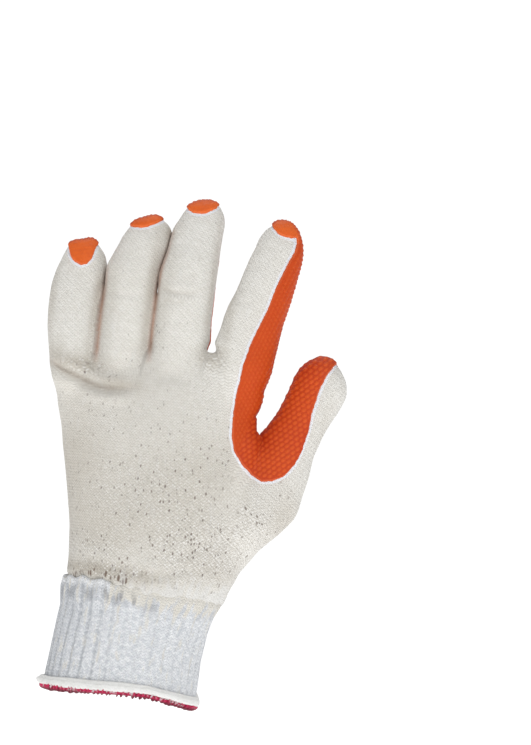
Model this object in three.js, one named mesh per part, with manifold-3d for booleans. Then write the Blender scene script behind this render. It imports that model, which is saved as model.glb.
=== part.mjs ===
// A latex coated grip glove for the left hand, filled as if worn, in millimetres.
// Z runs along the hand from the middle of the cuff's mouth to the fingertips, X towards the thumb,
// and Y towards the palm, so the back of the hand faces -Y.

import * as THREE from "three";
import { LoftGeometry } from "three/addons/geometries/LoftGeometry.js";
import { mergeVertices } from "three/addons/utils/BufferGeometryUtils.js";
import Module from "manifold-3d";

const wasm = await Module();
wasm.setup();

// Walls and clearances
const KNIT_WALL = 2.0;
const CUFF_WALL = 2.2;
const COAT_WALL = 1.0;
const FIT_GAP = 0.3;

// Overlock edge and hem round the mouth
const EDGE_HEIGHT = 2.0;
const EDGE_WALL = 2.2;
const HEM_HEIGHT = 4.2;
const HEM_WALL = 3.4;
const HEM_FLARE = 2.4;

// Rib cuff
const CUFF_LENGTH = 47.6;
const CUFF_WIDTH = 78;
const CUFF_DEPTH = 50;
const RIB_COUNT = 34;
const RIB_DEPTH = 1.1;
const GATHER_DEPTH = 1.3;

// Wrist line, where the cuff meets the knitted hand
const WRIST_WIDTH = 80;
const WRIST_DEPTH = 45;

// Knitted hand
const PALM_LENGTH = 118;
const PALM_WIDTH = 104;
const PALM_DEPTH = 46;
const WEB_CAP = 9;

// Fingers, each measured from the web to the tip along its bend
const FINGER_WIDTH = 26.4;
const FINGER_DEPTH = 23;
const FINGER_CAP = 16;
const FINGER_ROOT = 24;
const ROOT_WIDTH = 20;
const ROOT_DEPTH = 23;
const LITTLE_LENGTH = 61;
const RING_LENGTH = 71;
const MIDDLE_LENGTH = 80;
const INDEX_LENGTH = 74;
const FINGER_CURL = 28;

// Thumb, whose reach and rise are those of the middle of its tip
const THUMB_REACH = 80.5;
const THUMB_RISE = 110;
const THUMB_FORWARD = 13;
const THUMB_WIDTH = 27;
const THUMB_DEPTH = 25;
const THUMB_CAP = 13.6;
const THUMB_LEAN = 22;

// Latex coating
const COAT_SIDE = 5.5;
const COAT_HEEL = 9;
const COAT_REACH = 40;
const CROTCH_HALF_WIDTH = 18.5;
const CROTCH_DROP = 23;

// Points round a section
const CUFF_POINTS = 3 * RIB_COUNT;
const BODY_POINTS = 32;
const FINGER_POINTS = 16;
const HEM_POINTS = 32;
const CAP_ANGLES = [32, 58, 80];

// How round the ends of the fingers and the web between them are, 1 for an ellipse and less for a
// blunter end
const END_POWER = 0.92;
const WEB_POWER = 0.25;

// Heights of the joints between the pieces
const HEM_START = EDGE_HEIGHT + FIT_GAP;
const CUFF_START = HEM_START + HEM_HEIGHT + FIT_GAP;
const CUFF_END = CUFF_START + CUFF_LENGTH;
const HAND_START = CUFF_END + FIT_GAP;

// Cuff sections: up is a share of the cuff's length, sides of its width, back and palm of its depth,
// rib of the rib's depth and gather of the gather's depth
const CUFF_ROWS = [
  { up: 0.0, little: 0.484, thumb: 0.508, back: 0.5, palm: 0.5, rib: 0.5, gather: 0 },
  { up: 0.3, little: 0.468, thumb: 0.508, back: 0.49, palm: 0.49, rib: 1, gather: 0 },
  { up: 0.58, little: 0.451, thumb: 0.53, back: 0.475, palm: 0.48, rib: 1, gather: 0 },
  { up: 0.76, little: 0.438, thumb: 0.556, back: 0.462, palm: 0.47, rib: 0.9, gather: 0.1 },
  { up: 0.88, little: 0.432, thumb: 0.588, back: 0.458, palm: 0.468, rib: 0.4, gather: 1 },
];

// The wrist line as shares of the wrist's width and depth
const WRIST_ROW = { little: 0.418, thumb: 0.592, back: 0.495, palm: 0.52 };

// Hand sections: up is a share of the palm's length, sides of its width, back and palm of its depth,
// tilt in degrees lifts the thumb's side, and square is the section's power, 2 for an ellipse
const HAND_ROWS = [
  { up: 0.08, little: 0.32, thumb: 0.495, back: 0.49, palm: 0.54, tilt: 0, square: 2.1 },
  { up: 0.28, little: 0.345, thumb: 0.525, back: 0.5, palm: 0.6, tilt: 0, square: 2.2 },
  { up: 0.47, little: 0.395, thumb: 0.525, back: 0.465, palm: 0.53, tilt: 0, square: 2.3 },
  { up: 0.64, little: 0.438, thumb: 0.505, back: 0.405, palm: 0.43, tilt: 1, square: 2.4 },
  { up: 0.76, little: 0.47, thumb: 0.498, back: 0.35, palm: 0.345, tilt: 2, square: 2.6 },
  { up: 0.81, little: 0.484, thumb: 0.497, back: 0.325, palm: 0.32, tilt: 3, square: 2.6 },
  { up: 0.86, little: 0.492, thumb: 0.49, back: 0.3, palm: 0.3, tilt: 4, square: 2.6 },
  { up: 0.92, little: 0.475, thumb: 0.465, back: 0.245, palm: 0.255, tilt: 6, square: 2.5 },
];

// Fingers: across and up place the root as shares of the palm's width and length, width and depth
// are shares of the finger's, root, lean and splay are degrees inside the hand, at the web and at the
// tip, curl is a share of the curl, and wrap is how far the coating comes down the back of the tip, a
// share of the cap
const FINGERS = [
  {
    length: LITTLE_LENGTH, across: -0.425, up: 0.905, width: 0.9, depth: 0.93,
    root: -17, lean: -5, splay: 4, curl: 1.1, wrap: 0.8,
  },
  {
    length: RING_LENGTH, across: -0.197, up: 0.965, width: 0.94, depth: 0.98,
    root: -3, lean: 0, splay: 6, curl: 1.05, wrap: 0.45,
  },
  {
    length: MIDDLE_LENGTH, across: 0.065, up: 0.985, width: 0.98, depth: 1.0,
    root: 1, lean: 1, splay: 4, curl: 0.95, wrap: 0.45,
  },
  {
    length: INDEX_LENGTH, across: 0.384, up: 0.985, width: 1.02, depth: 1.0,
    root: 7, lean: 9, splay: 13, curl: 0.8, wrap: 0.5,
  },
];

// One finger's form: along is a share of its length before the cap, width and depth shares of its own
const FINGER_ROWS = [
  { along: 0.0, width: 1.0, depth: 1.12 },
  { along: 0.35, width: 1.02, depth: 1.04 },
  { along: 0.68, width: 0.98, depth: 0.98 },
  { along: 1.0, width: 0.92, depth: 0.92 },
];

// Thumb sections: across, up and forward are shares of its reach, rise and forward place, width and
// depth of its own, and lean of its lean
const THUMB_ROWS = [
  { across: 0.33, up: 0.1, forward: 0.15, width: 1.48, depth: 1.22, lean: 0.8 },
  { across: 0.485, up: 0.26, forward: 0.3, width: 1.55, depth: 1.45, lean: 0.85 },
  { across: 0.61, up: 0.39, forward: 0.4, width: 1.65, depth: 1.42, lean: 0.95 },
  { across: 0.702, up: 0.497, forward: 0.52, width: 1.57, depth: 1.3, lean: 1 },
  { across: 0.774, up: 0.589, forward: 0.63, width: 1.33, depth: 1.18, lean: 1 },
  { across: 0.848, up: 0.712, forward: 0.76, width: 1.055, depth: 1.08, lean: 0.82 },
  { across: 0.912, up: 0.834, forward: 0.87, width: 1.0, depth: 1.02, lean: 0.68 },
  { across: 1, up: 1, forward: 1, width: 0.99, depth: 0.97, lean: 0.64 },
];

// How far the coating comes over the back of the index finger and the thumb: edge is where its rim
// lies between the middle, 0, and the side away from the coating's own, 1
const INDEX_RIM = [
  { along: -0.62, edge: 0.3 },
  { along: -0.3, edge: 0.2 },
  { along: 0.1, edge: 0.14 },
  { along: 0.3, edge: 0.2 },
  { along: 0.65, edge: 0.4 },
  { along: 1.0, edge: 0.6 },
];
const THUMB_RIM = [
  { row: 5, edge: 0.52 },
  { row: 6, edge: 0.4 },
  { row: 7, edge: 0.1 },
];
const THUMB_PALM_RIM = 0.8;

// The heel of the coating on the palm: across is a share of the palm's width and up of its length
const HEEL_OUTLINE = [
  { across: -0.46, up: 0.42 },
  { across: -0.37, up: 0.24 },
  { across: -0.22, up: 0.08 },
  { across: 0.0, up: 0.0 },
  { across: 0.26, up: 0.0 },
  { across: 0.46, up: 0.1 },
  { across: 0.62, up: 0.28 },
  { across: 0.72, up: 0.46 },
];

// Folds in the back of the hand: up and across place the middle, wide and tall are its half sizes,
// all shares of the palm's width and length, bow lifts its ends, and deep is a share of the palm's depth
const FOLDS = [
  { up: 0.81, across: -0.32, wide: 0.26, tall: 0.022, bow: 0.05, deep: 0.026 },
  { up: 0.1, across: 0.1, wide: 0.4, tall: 0.03, bow: 0.02, deep: 0.012 },
];

function radians(degrees) {
  return (degrees * Math.PI) / 180;
}

// A section's frame: across and deep are unit vectors, and the four half sizes reach from its centre
function section(centre, across, deep, sizes, square) {
  return { centre, across, deep, sizes, square };
}

// One ring of points round a section, grown outwards, with an optional change to each radius
function ringOf(part, grow, count, ripple = () => 0) {
  const points = [];
  for (let i = 0; i < count; i++) {
    const turn = (2 * Math.PI * i) / count;
    const cos = Math.cos(turn);
    const sin = Math.sin(turn);
    const more = grow + ripple(i, turn);
    const halfAcross = (cos > 0 ? part.sizes.thumb : part.sizes.little) + more;
    const halfDeep = (sin > 0 ? part.sizes.palm : part.sizes.back) + more;
    const power = 2 / part.square;
    points.push(
      part.centre
        .clone()
        .addScaledVector(part.across, Math.sign(cos) * Math.abs(cos) ** power * halfAcross)
        .addScaledVector(part.deep, Math.sign(sin) * Math.abs(sin) ** power * halfDeep),
    );
  }
  return points;
}

// A closed geometry as a solid that can be joined and cut
function solidFrom(geometry) {
  const bare = new THREE.BufferGeometry();
  bare.setAttribute("position", geometry.getAttribute("position"));
  bare.setIndex(geometry.index);
  const merged = mergeVertices(bare, 1e-4);
  return new wasm.Manifold(
    new wasm.Mesh({
      numProp: 3,
      vertProperties: merged.attributes.position.array,
      triVerts: new Uint32Array(merged.index.array),
    }),
  );
}

function loft(rings) {
  return solidFrom(new LoftGeometry(rings, { capStart: true, capEnd: true }));
}

function joined(solids) {
  return solids.reduce((whole, solid) => whole.add(solid));
}

// A named mesh from a finished solid
function meshOf(name, solid, material) {
  const made = solid.getMesh();
  const geometry = new THREE.BufferGeometry();
  geometry.setAttribute("position", new THREE.BufferAttribute(made.vertProperties, 3));
  geometry.setIndex(new THREE.BufferAttribute(made.triVerts, 1));
  geometry.computeVertexNormals();
  const mesh = new THREE.Mesh(geometry, material);
  mesh.name = name;
  return mesh;
}

// A level section of the cuff or the hand
function levelSection(height, sizes, square, tilt = 0) {
  const lift = radians(tilt);
  return section(
    new THREE.Vector3(0, 0, height),
    new THREE.Vector3(Math.cos(lift), 0, Math.sin(lift)),
    new THREE.Vector3(0, 1, 0),
    sizes,
    square,
  );
}

function scaledSizes(row, width, depth) {
  return {
    little: row.little * width,
    thumb: row.thumb * width,
    back: row.back * depth,
    palm: row.palm * depth,
  };
}

const wristSizes = scaledSizes(WRIST_ROW, WRIST_WIDTH, WRIST_DEPTH);

// Rib cuff

function cuffSections() {
  const rows = CUFF_ROWS.map((row) => ({
    row,
    part: levelSection(CUFF_START + row.up * CUFF_LENGTH, scaledSizes(row, CUFF_WIDTH, CUFF_DEPTH), 2),
  }));
  rows.push({ row: { rib: 0, gather: 0.5 }, part: levelSection(CUFF_END, wristSizes, 2) });
  return rows;
}

function ribCuff() {
  const rows = cuffSections();
  const outer = rows.map(({ row, part }) =>
    ringOf(part, 0, CUFF_POINTS, (i, turn) => {
      const rib = i % 3 === 0 ? -RIB_DEPTH * row.rib : 0;
      const pucker = 0.5 + 0.5 * Math.cos((turn * RIB_COUNT) / 2);
      return rib + GATHER_DEPTH * row.gather * pucker;
    }),
  );
  const inner = rows.map(({ part }) => ringOf(part, -CUFF_WALL, BODY_POINTS));
  return loft(outer).subtract(openEnds(inner, 1));
}

// The rings of a hollow, carried on past both ends so that the wall is cut open there
function openEnds(rings, past) {
  const up = new THREE.Vector3(0, 0, past);
  const first = rings[0].map((point) => point.clone().sub(up));
  const last = rings[rings.length - 1].map((point) => point.clone().add(up));
  return loft([first, ...rings, last]);
}

// Hem band and overlock edge: rows of height and outward place, each round the mouth of the cuff

function mouthBand(start, height, wall, rows) {
  const mouth = scaledSizes(CUFF_ROWS[0], CUFF_WIDTH, CUFF_DEPTH);
  const outer = rows.map((row) =>
    ringOf(levelSection(start + row.up * height, mouth, 2), row.out * HEM_FLARE, HEM_POINTS),
  );
  const inner = rows.map((row) =>
    ringOf(levelSection(start + row.up * height, mouth, 2), row.out * HEM_FLARE - wall, HEM_POINTS),
  );
  return loft(outer).subtract(openEnds(inner, 1));
}

function hemBand() {
  return mouthBand(HEM_START, HEM_HEIGHT, HEM_WALL, [
    { up: 0, out: 0.92 },
    { up: 0.22, out: 1.2 },
    { up: 0.5, out: 1.15 },
    { up: 0.8, out: 0.75 },
    { up: 1, out: 0.3 },
  ]);
}

function overlockEdge() {
  return mouthBand(0, EDGE_HEIGHT, EDGE_WALL, [
    { up: 0, out: 0.25 },
    { up: 0.45, out: 0.6 },
    { up: 1, out: 0.62 },
  ]);
}

// Knitted hand

function foldAt(point) {
  const across = point.x / PALM_WIDTH;
  const up = (point.z - HAND_START) / PALM_LENGTH;
  return FOLDS.reduce((sum, fold) => {
    const side = (across - fold.across) / fold.wide;
    const middle = fold.up + fold.bow * side * side;
    const over = (up - middle) / fold.tall;
    const fade = Math.max(0, 1 - side * side);
    return sum + fold.deep * PALM_DEPTH * fade * Math.exp(-over * over);
  }, 0);
}

function handSolid(grow) {
  const parts = [levelSection(HAND_START, wristSizes, 2)];
  for (const row of HAND_ROWS) {
    const height = HAND_START + row.up * PALM_LENGTH;
    parts.push(levelSection(height, scaledSizes(row, PALM_WIDTH, PALM_DEPTH), row.square, row.tilt));
  }
  const last = parts[parts.length - 1];
  const up = new THREE.Vector3().crossVectors(last.across, last.deep);
  const rings = parts.map((part) => ringOf(part, grow, BODY_POINTS));
  rings.push(...capRings(last, up, WEB_CAP, grow, BODY_POINTS, WEB_POWER));
  for (const ring of rings) {
    for (const point of ring) {
      if (point.y < 0) {
        point.y += foldAt(point);
      }
    }
  }
  return loft(rings);
}

// Sections along a finger, from its root inside the hand to the end of its cap

function fingerFrame(finger, along) {
  const share = along / finger.length;
  const bend = share < 0 ? finger.root : finger.lean + (finger.splay - finger.lean) * share;
  const lean = radians(bend);
  const curl = radians(FINGER_CURL * finger.curl * Math.max(0, share));
  return {
    forward: new THREE.Vector3(
      Math.sin(lean) * Math.cos(curl),
      Math.sin(curl),
      Math.cos(lean) * Math.cos(curl),
    ),
    across: new THREE.Vector3(Math.cos(lean), 0, -Math.sin(lean)),
    deep: new THREE.Vector3(
      -Math.sin(lean) * Math.sin(curl),
      Math.cos(curl),
      -Math.cos(lean) * Math.sin(curl),
    ),
  };
}

function fingerPoint(finger, along) {
  const steps = 24;
  const point = new THREE.Vector3(
    finger.across * PALM_WIDTH,
    0,
    HAND_START + finger.up * PALM_LENGTH,
  );
  for (let i = 0; i < steps; i++) {
    const middle = (along * (i + 0.5)) / steps;
    point.addScaledVector(fingerFrame(finger, middle).forward, along / steps);
  }
  return point;
}

function fingerSection(finger, along, width, depth) {
  const frame = fingerFrame(finger, along);
  const halfWidth = (width * finger.width * FINGER_WIDTH) / 2;
  const halfDepth = (depth * finger.depth * FINGER_DEPTH) / 2;
  const sizes = { little: halfWidth, thumb: halfWidth, back: halfDepth, palm: halfDepth };
  return section(fingerPoint(finger, along), frame.across, frame.deep, sizes, 2.15);
}

// A rounded end in three rings past the last section of a finger, the thumb or the hand
function capRings(last, forward, cap, grow, count, sidePower = END_POWER) {
  return CAP_ANGLES.map((angle) => {
    const turn = radians(angle);
    const sideShrink = Math.cos(turn) ** sidePower;
    const shrink = Math.cos(turn) ** END_POWER;
    const sizes = {
      little: (last.sizes.little + grow) * sideShrink,
      thumb: (last.sizes.thumb + grow) * sideShrink,
      back: (last.sizes.back + grow) * shrink,
      palm: (last.sizes.palm + grow) * shrink,
    };
    const centre = last.centre.clone().addScaledVector(forward, (cap + grow) * Math.sin(turn));
    return ringOf(section(centre, last.across, last.deep, sizes, last.square), 0, count);
  });
}

function fingerSections(finger, grow = 0) {
  const straight = finger.length - FINGER_CAP;
  return [
    fingerSection(finger, -FINGER_ROOT - grow, ROOT_WIDTH / FINGER_WIDTH, ROOT_DEPTH / FINGER_DEPTH),
    ...FINGER_ROWS.map((row) => fingerSection(finger, row.along * straight, row.width, row.depth)),
  ];
}

function fingerSolid(finger, grow) {
  const parts = fingerSections(finger, grow);
  const last = parts[parts.length - 1];
  const forward = fingerFrame(finger, finger.length - FINGER_CAP).forward;
  const rings = parts.map((part) => ringOf(part, grow, FINGER_POINTS));
  return loft([...rings, ...capRings(last, forward, FINGER_CAP, grow, FINGER_POINTS)]);
}

// Thumb

function thumbSections() {
  return THUMB_ROWS.map((row) => {
    const lean = radians(row.lean * THUMB_LEAN);
    const halfWidth = (row.width * THUMB_WIDTH) / 2;
    const halfDepth = (row.depth * THUMB_DEPTH) / 2;
    return section(
      new THREE.Vector3(
        row.across * THUMB_REACH,
        row.forward * THUMB_FORWARD,
        HAND_START + row.up * THUMB_RISE,
      ),
      new THREE.Vector3(Math.cos(lean), 0, -Math.sin(lean)),
      new THREE.Vector3(0, 1, 0),
      { little: halfWidth, thumb: halfWidth, back: halfDepth, palm: halfDepth },
      2.1,
    );
  });
}

function thumbForward(part) {
  return new THREE.Vector3().crossVectors(part.across, part.deep);
}

function thumbSolid(grow) {
  const parts = thumbSections();
  const last = parts[parts.length - 1];
  parts[0].centre.addScaledVector(thumbForward(parts[0]), -grow);
  const rings = parts.map((part) => ringOf(part, grow, FINGER_POINTS + 2));
  return loft([...rings, ...capRings(last, thumbForward(last), THUMB_CAP, grow, FINGER_POINTS + 2)]);
}

// The whole hand's form, grown outwards, or inwards for its hollow
function handForm(grow) {
  return joined([
    handSolid(grow),
    ...FINGERS.map((finger) => fingerSolid(finger, grow)),
    thumbSolid(grow),
  ]);
}

// The hollow's first ring again below the wrist line, so that the liner is cut open there
function wristOpening() {
  const part = levelSection(HAND_START, wristSizes, 2);
  return openEnds([ringOf(part, -KNIT_WALL, BODY_POINTS)], KNIT_WALL);
}

function knitLiner() {
  return handForm(0).subtract(handForm(-KNIT_WALL).add(wristOpening()));
}

// Latex coating: the skin between two grown forms, kept only where the coating covers

// A block along a run of sections, between two places across and two places deep in each
function coverBlock(parts, limits) {
  const rings = parts.map((part, i) => {
    const { from, to, back, palm } = limits(part, i);
    const corners = [
      [from, back],
      [to, back],
      [to, palm],
      [from, palm],
    ];
    return corners.map(([across, deep]) =>
      part.centre.clone().addScaledVector(part.across, across).addScaledVector(part.deep, deep),
    );
  });
  return loft(rings);
}

// The same section moved on past a finger's end
function movedOn(part, forward, distance) {
  return { ...part, centre: part.centre.clone().addScaledVector(forward, distance) };
}

function fingerCover(finger) {
  const parts = fingerSections(finger);
  const last = parts[parts.length - 1];
  const forward = fingerFrame(finger, finger.length - FINGER_CAP).forward;
  const beyond = movedOn(last, forward, FINGER_CAP + 4 * COAT_WALL);
  const half = (part) => part.sizes.thumb + 2 * COAT_WALL;
  const palmSide = coverBlock([...parts, beyond], (part) => ({
    from: -half(part), to: half(part), back: COAT_SIDE, palm: COAT_REACH / 2,
  }));
  const start = movedOn(last, forward, FINGER_CAP * (1 - finger.wrap));
  const tip = coverBlock([start, beyond], (part) => ({
    from: -half(part), to: half(part), back: -COAT_REACH / 2, palm: COAT_REACH / 2,
  }));
  return palmSide.add(tip);
}

// The strip of coating that shows along the thumb's side of the index finger
function indexStrip(finger) {
  const straight = finger.length - FINGER_CAP;
  const parts = INDEX_RIM.map((row) => fingerSection(finger, row.along * straight, 1, 1));
  const forward = fingerFrame(finger, straight).forward;
  parts.push(movedOn(parts[parts.length - 1], forward, FINGER_CAP + 4 * COAT_WALL));
  return coverBlock(parts, (part, i) => {
    const row = INDEX_RIM[Math.min(i, INDEX_RIM.length - 1)];
    return {
      from: row.edge * part.sizes.thumb, to: part.sizes.thumb + 4 * COAT_WALL,
      back: -COAT_REACH / 2, palm: COAT_REACH / 2,
    };
  });
}

// The thumb's coating: its pad faces the index finger, and its palm side is covered almost whole
function thumbCover() {
  const parts = thumbSections();
  const last = parts[parts.length - 1];
  const beyond = movedOn(last, thumbForward(last), THUMB_CAP + 4 * COAT_WALL);
  const pad = coverBlock([...THUMB_RIM.map((rim) => parts[rim.row]), beyond], (part, i) => ({
    from: -part.sizes.thumb - 4 * COAT_WALL,
    to: THUMB_RIM[Math.min(i, THUMB_RIM.length - 1)].edge * part.sizes.thumb,
    back: -COAT_REACH / 2, palm: COAT_REACH / 2,
  }));
  const palmSide = coverBlock([...parts.slice(2), beyond], (part) => ({
    from: -part.sizes.thumb - 4 * COAT_WALL,
    to: THUMB_PALM_RIM * part.sizes.thumb,
    back: 0, palm: COAT_REACH,
  }));
  return pad.add(palmSide);
}

// A flat outline in X and Z, carried through from one Y to another
function throughDepth(shape, from, to) {
  const geometry = new THREE.ExtrudeGeometry(shape, {
    depth: to - from,
    bevelEnabled: false,
    curveSegments: 12,
  });
  geometry.rotateX(Math.PI / 2);
  geometry.translate(0, to, 0);
  return solidFrom(geometry);
}

// The coating's rounded dip on the back of the hand, round the crotch of the thumb
function crotchCover() {
  const crotch = thumbSections()[5];
  const middle = crotch.centre.clone().addScaledVector(crotch.across, -0.75 * crotch.sizes.little);
  const shape = new THREE.Shape();
  shape.absellipse(middle.x, middle.z, CROTCH_HALF_WIDTH, CROTCH_DROP, 0, 2 * Math.PI, false, 0);
  return throughDepth(shape, -COAT_REACH, COAT_REACH);
}

function palmCover() {
  const heel = HEEL_OUTLINE.map(
    (point) =>
      new THREE.Vector2(
        point.across * PALM_WIDTH,
        HAND_START + COAT_HEEL + point.up * (PALM_LENGTH - COAT_HEEL),
      ),
  );
  const outline = new THREE.SplineCurve(heel).getPoints(3 * heel.length);
  const top = HAND_START + PALM_LENGTH + WEB_CAP;
  const shape = new THREE.Shape([
    new THREE.Vector2(-COAT_REACH - PALM_WIDTH / 2, outline[0].y),
    ...outline,
    new THREE.Vector2(outline[outline.length - 1].x, top),
    new THREE.Vector2(-COAT_REACH - PALM_WIDTH / 2, top),
  ]);
  return throughDepth(shape, COAT_SIDE, COAT_REACH);
}

// A finger's cover keeps only that finger's skin, and the hand's form is then cut out of them all
function latexCoating() {
  const outside = FIT_GAP + COAT_WALL;
  const index = FINGERS[FINGERS.length - 1];
  const cover = joined([palmCover(), indexStrip(index), thumbCover(), crotchCover()]);
  const covered = joined([
    handForm(outside).intersect(cover),
    ...FINGERS.map((finger) => fingerSolid(finger, outside).intersect(fingerCover(finger))),
  ]);
  return covered.subtract(handForm(FIT_GAP));
}

// Colours as the eye sees them: cream yarn, bluish white elastic yarn, crimson thread, orange latex
const creamKnit = new THREE.MeshStandardMaterial({ color: 0xe6e0d4, roughness: 0.95, metalness: 0 });
const whiteRib = new THREE.MeshStandardMaterial({ color: 0xd9dee4, roughness: 0.95, metalness: 0 });
const creamHem = new THREE.MeshStandardMaterial({ color: 0xe0ded6, roughness: 0.9, metalness: 0 });
const crimsonThread = new THREE.MeshStandardMaterial({ color: 0xb01845, roughness: 0.8, metalness: 0 });
const orangeLatex = new THREE.MeshStandardMaterial({ color: 0xd9541e, roughness: 0.5, metalness: 0 });

const glove = new THREE.Group();
glove.add(
  meshOf("overlock_edge", overlockEdge(), crimsonThread),
  meshOf("hem_band", hemBand(), creamHem),
  meshOf("rib_cuff", ribCuff(), whiteRib),
  meshOf("knit_liner", knitLiner(), creamKnit),
  meshOf("latex_coating", latexCoating(), orangeLatex),
);

export default glove;
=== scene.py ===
# %% [markdown]
# A latex coated grip glove, standing filled on its open wrist.
# The CAD frame gives every piece its true size and place. This lesson dresses that frame: a fine
# knitted liner, a ribbed cuff with gathers, a rolled hem, an overlocked edge and a rubber coating.
# The scene is in metres. The tables below are in millimetres, because cloth is cut in them.

# %% Load the frame
import math

import bpy
import numpy as np
from mathutils import Matrix, Vector


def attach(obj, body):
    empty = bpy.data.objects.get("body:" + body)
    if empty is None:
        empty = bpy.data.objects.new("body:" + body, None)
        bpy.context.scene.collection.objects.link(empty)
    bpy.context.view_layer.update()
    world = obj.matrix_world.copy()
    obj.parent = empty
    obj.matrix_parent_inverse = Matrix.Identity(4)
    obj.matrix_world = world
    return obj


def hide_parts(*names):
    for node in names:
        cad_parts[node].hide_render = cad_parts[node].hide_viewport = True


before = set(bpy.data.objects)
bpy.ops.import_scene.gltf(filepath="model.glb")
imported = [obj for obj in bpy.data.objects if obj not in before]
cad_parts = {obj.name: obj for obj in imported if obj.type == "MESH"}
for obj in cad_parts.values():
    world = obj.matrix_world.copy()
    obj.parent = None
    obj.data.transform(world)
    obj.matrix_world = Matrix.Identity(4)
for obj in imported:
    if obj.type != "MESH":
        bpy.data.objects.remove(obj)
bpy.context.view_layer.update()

MM = 0.001


def new_object(name, data):
    made = bpy.data.objects.new(name, data)
    bpy.context.scene.collection.objects.link(made)
    return made


# %% [markdown]
# The camera comes first, so that every later step can be looked at.
# A long lens keeps the outline nearly flat, as in a catalogue. The glove leans in the frame, so the
# camera is rolled instead of the glove, which keeps its place in the shared frame.

# %% Camera
VIEW_SIDE = math.radians(8)
VIEW_LIFT = math.radians(-3.5)
VIEW_ROLL = math.radians(7.5)
VIEW_DISTANCE = 1.5
FRAME_HEIGHT = 0.3725
AIM_ACROSS = 52.7
AIM_UP = 168.6
SENSOR = 36

BACK = np.array([
    math.sin(VIEW_SIDE) * math.cos(VIEW_LIFT),
    -math.cos(VIEW_SIDE) * math.cos(VIEW_LIFT),
    math.sin(VIEW_LIFT),
])
ACROSS = np.array([math.cos(VIEW_SIDE), math.sin(VIEW_SIDE), 0.0])
UP = np.cross(BACK, ACROSS)

right = ACROSS * math.cos(VIEW_ROLL) + UP * math.sin(VIEW_ROLL)
above = -ACROSS * math.sin(VIEW_ROLL) + UP * math.cos(VIEW_ROLL)
place = (AIM_ACROSS * ACROSS + AIM_UP * UP) * MM + BACK * VIEW_DISTANCE
camera_data = bpy.data.cameras.new("camera")
camera_data.sensor_fit = "VERTICAL"
camera_data.sensor_height = SENSOR
camera_data.lens = SENSOR * VIEW_DISTANCE / FRAME_HEIGHT
camera_data.clip_end = 100
camera = new_object("camera", camera_data)
sides = [[*right, 0], [*above, 0], [*BACK, 0], [*place, 1]]
camera.matrix_world = Matrix(sides).transposed()
bpy.context.scene.camera = camera
print("lens", round(camera_data.lens, 1))


# %% Where a point of the glove shows in the flat layout of its back, in millimetres
def laid_flat(points):
    depth = points @ BACK
    scale = VIEW_DISTANCE / MM / (VIEW_DISTANCE / MM - depth)
    across = AIM_ACROSS + (points @ ACROSS - AIM_ACROSS) * scale
    up = AIM_UP + (points @ UP - AIM_UP) * scale
    return np.stack([across, up], 1)


# %% [markdown]
# Studio: a wide pale floor, a white surround that shows as plain white behind the glove, one large
# soft light from the upper right and a weaker one from the left, so that ribs and folds keep soft
# shadows.

# %% Floor
FLOOR_HEIGHT = -0.08
bpy.ops.object.select_all(action="DESELECT")
bpy.ops.mesh.primitive_plane_add(size=40, location=(0, 0, FLOOR_HEIGHT))
floor = bpy.context.object
floor.name = "floor"


# %% Small helpers for node trees
def feed(tree, socket, value):
    if isinstance(value, bpy.types.NodeSocket):
        tree.links.new(value, socket)
    else:
        socket.default_value = value


def add_node(tree, kind, inputs=None, **settings):
    made = tree.nodes.new(kind)
    for name, value in settings.items():
        setattr(made, name, value)
    for key, value in (inputs or {}).items():
        feed(tree, made.inputs[key], value)
    return made


def maths(tree, operation, first, second=0.0, third=0.0):
    made = add_node(tree, "ShaderNodeMath", {0: first, 1: second, 2: third}, operation=operation)
    return made.outputs[0]


def times(tree, first, second):
    return maths(tree, "MULTIPLY", first, second)


def mixed(tree, share, first, second):
    colours = {6: (*first, 1) if isinstance(first, tuple) else first, 7: (*second, 1)}
    return add_node(tree, "ShaderNodeMix", {0: share, **colours}, data_type="RGBA").outputs[2]


def between(tree, value, low, high, to_low=0.0, to_high=1.0):
    made = add_node(
        tree, "ShaderNodeMapRange", {0: value, 1: low, 2: high, 3: to_low, 4: to_high},
        interpolation_type="SMOOTHSTEP",
    )
    return made.outputs[0]


def new_material(name):
    material = bpy.data.materials.new(name)
    material.use_nodes = True
    return material, material.node_tree, material.node_tree.nodes["Principled BSDF"]


# %% Floor finish and surround
material, tree, shader = new_material("pale_floor")
where = add_node(tree, "ShaderNodeTexCoord")
grain = add_node(tree, "ShaderNodeTexNoise", {"Vector": where.outputs["Object"], "Scale": 300.0})
pale = mixed(tree, grain.outputs[0], (0.92, 0.92, 0.92), (0.95, 0.95, 0.95))
tree.links.new(pale, shader.inputs["Base Color"])
shader.inputs["Roughness"].default_value = 0.9
shader.inputs["Emission Color"].default_value = (1, 1, 1, 1)
shader.inputs["Emission Strength"].default_value = 0.8
floor.data.materials.append(material)

world = bpy.data.worlds.new("studio")
bpy.context.scene.world = world
world.use_nodes = True
tree = world.node_tree
tree.nodes.clear()
seen = add_node(tree, "ShaderNodeBackground", {"Color": (1, 1, 1, 1), "Strength": 1.05})
lit = add_node(tree, "ShaderNodeBackground", {"Color": (0.98, 0.985, 1, 1), "Strength": 0.41})
ray = add_node(tree, "ShaderNodeLightPath")
both = add_node(tree, "ShaderNodeMixShader", {
    0: ray.outputs["Is Camera Ray"], 1: lit.outputs[0], 2: seen.outputs[0],
})
add_node(tree, "ShaderNodeOutputWorld", {0: both.outputs[0]})
bpy.context.scene.view_settings.view_transform = "Standard"


# %% Lights
LIT_PLACE = (0, 0, 0.12)


def soft_light(name, at, size, power):
    data = bpy.data.lights.new(name, "AREA")
    data.size = size
    data.energy = power
    light = new_object(name, data)
    light.location = at
    towards = Vector(LIT_PLACE) - light.location
    light.rotation_euler = towards.to_track_quat("-Z", "Y").to_euler()
    return light


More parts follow.
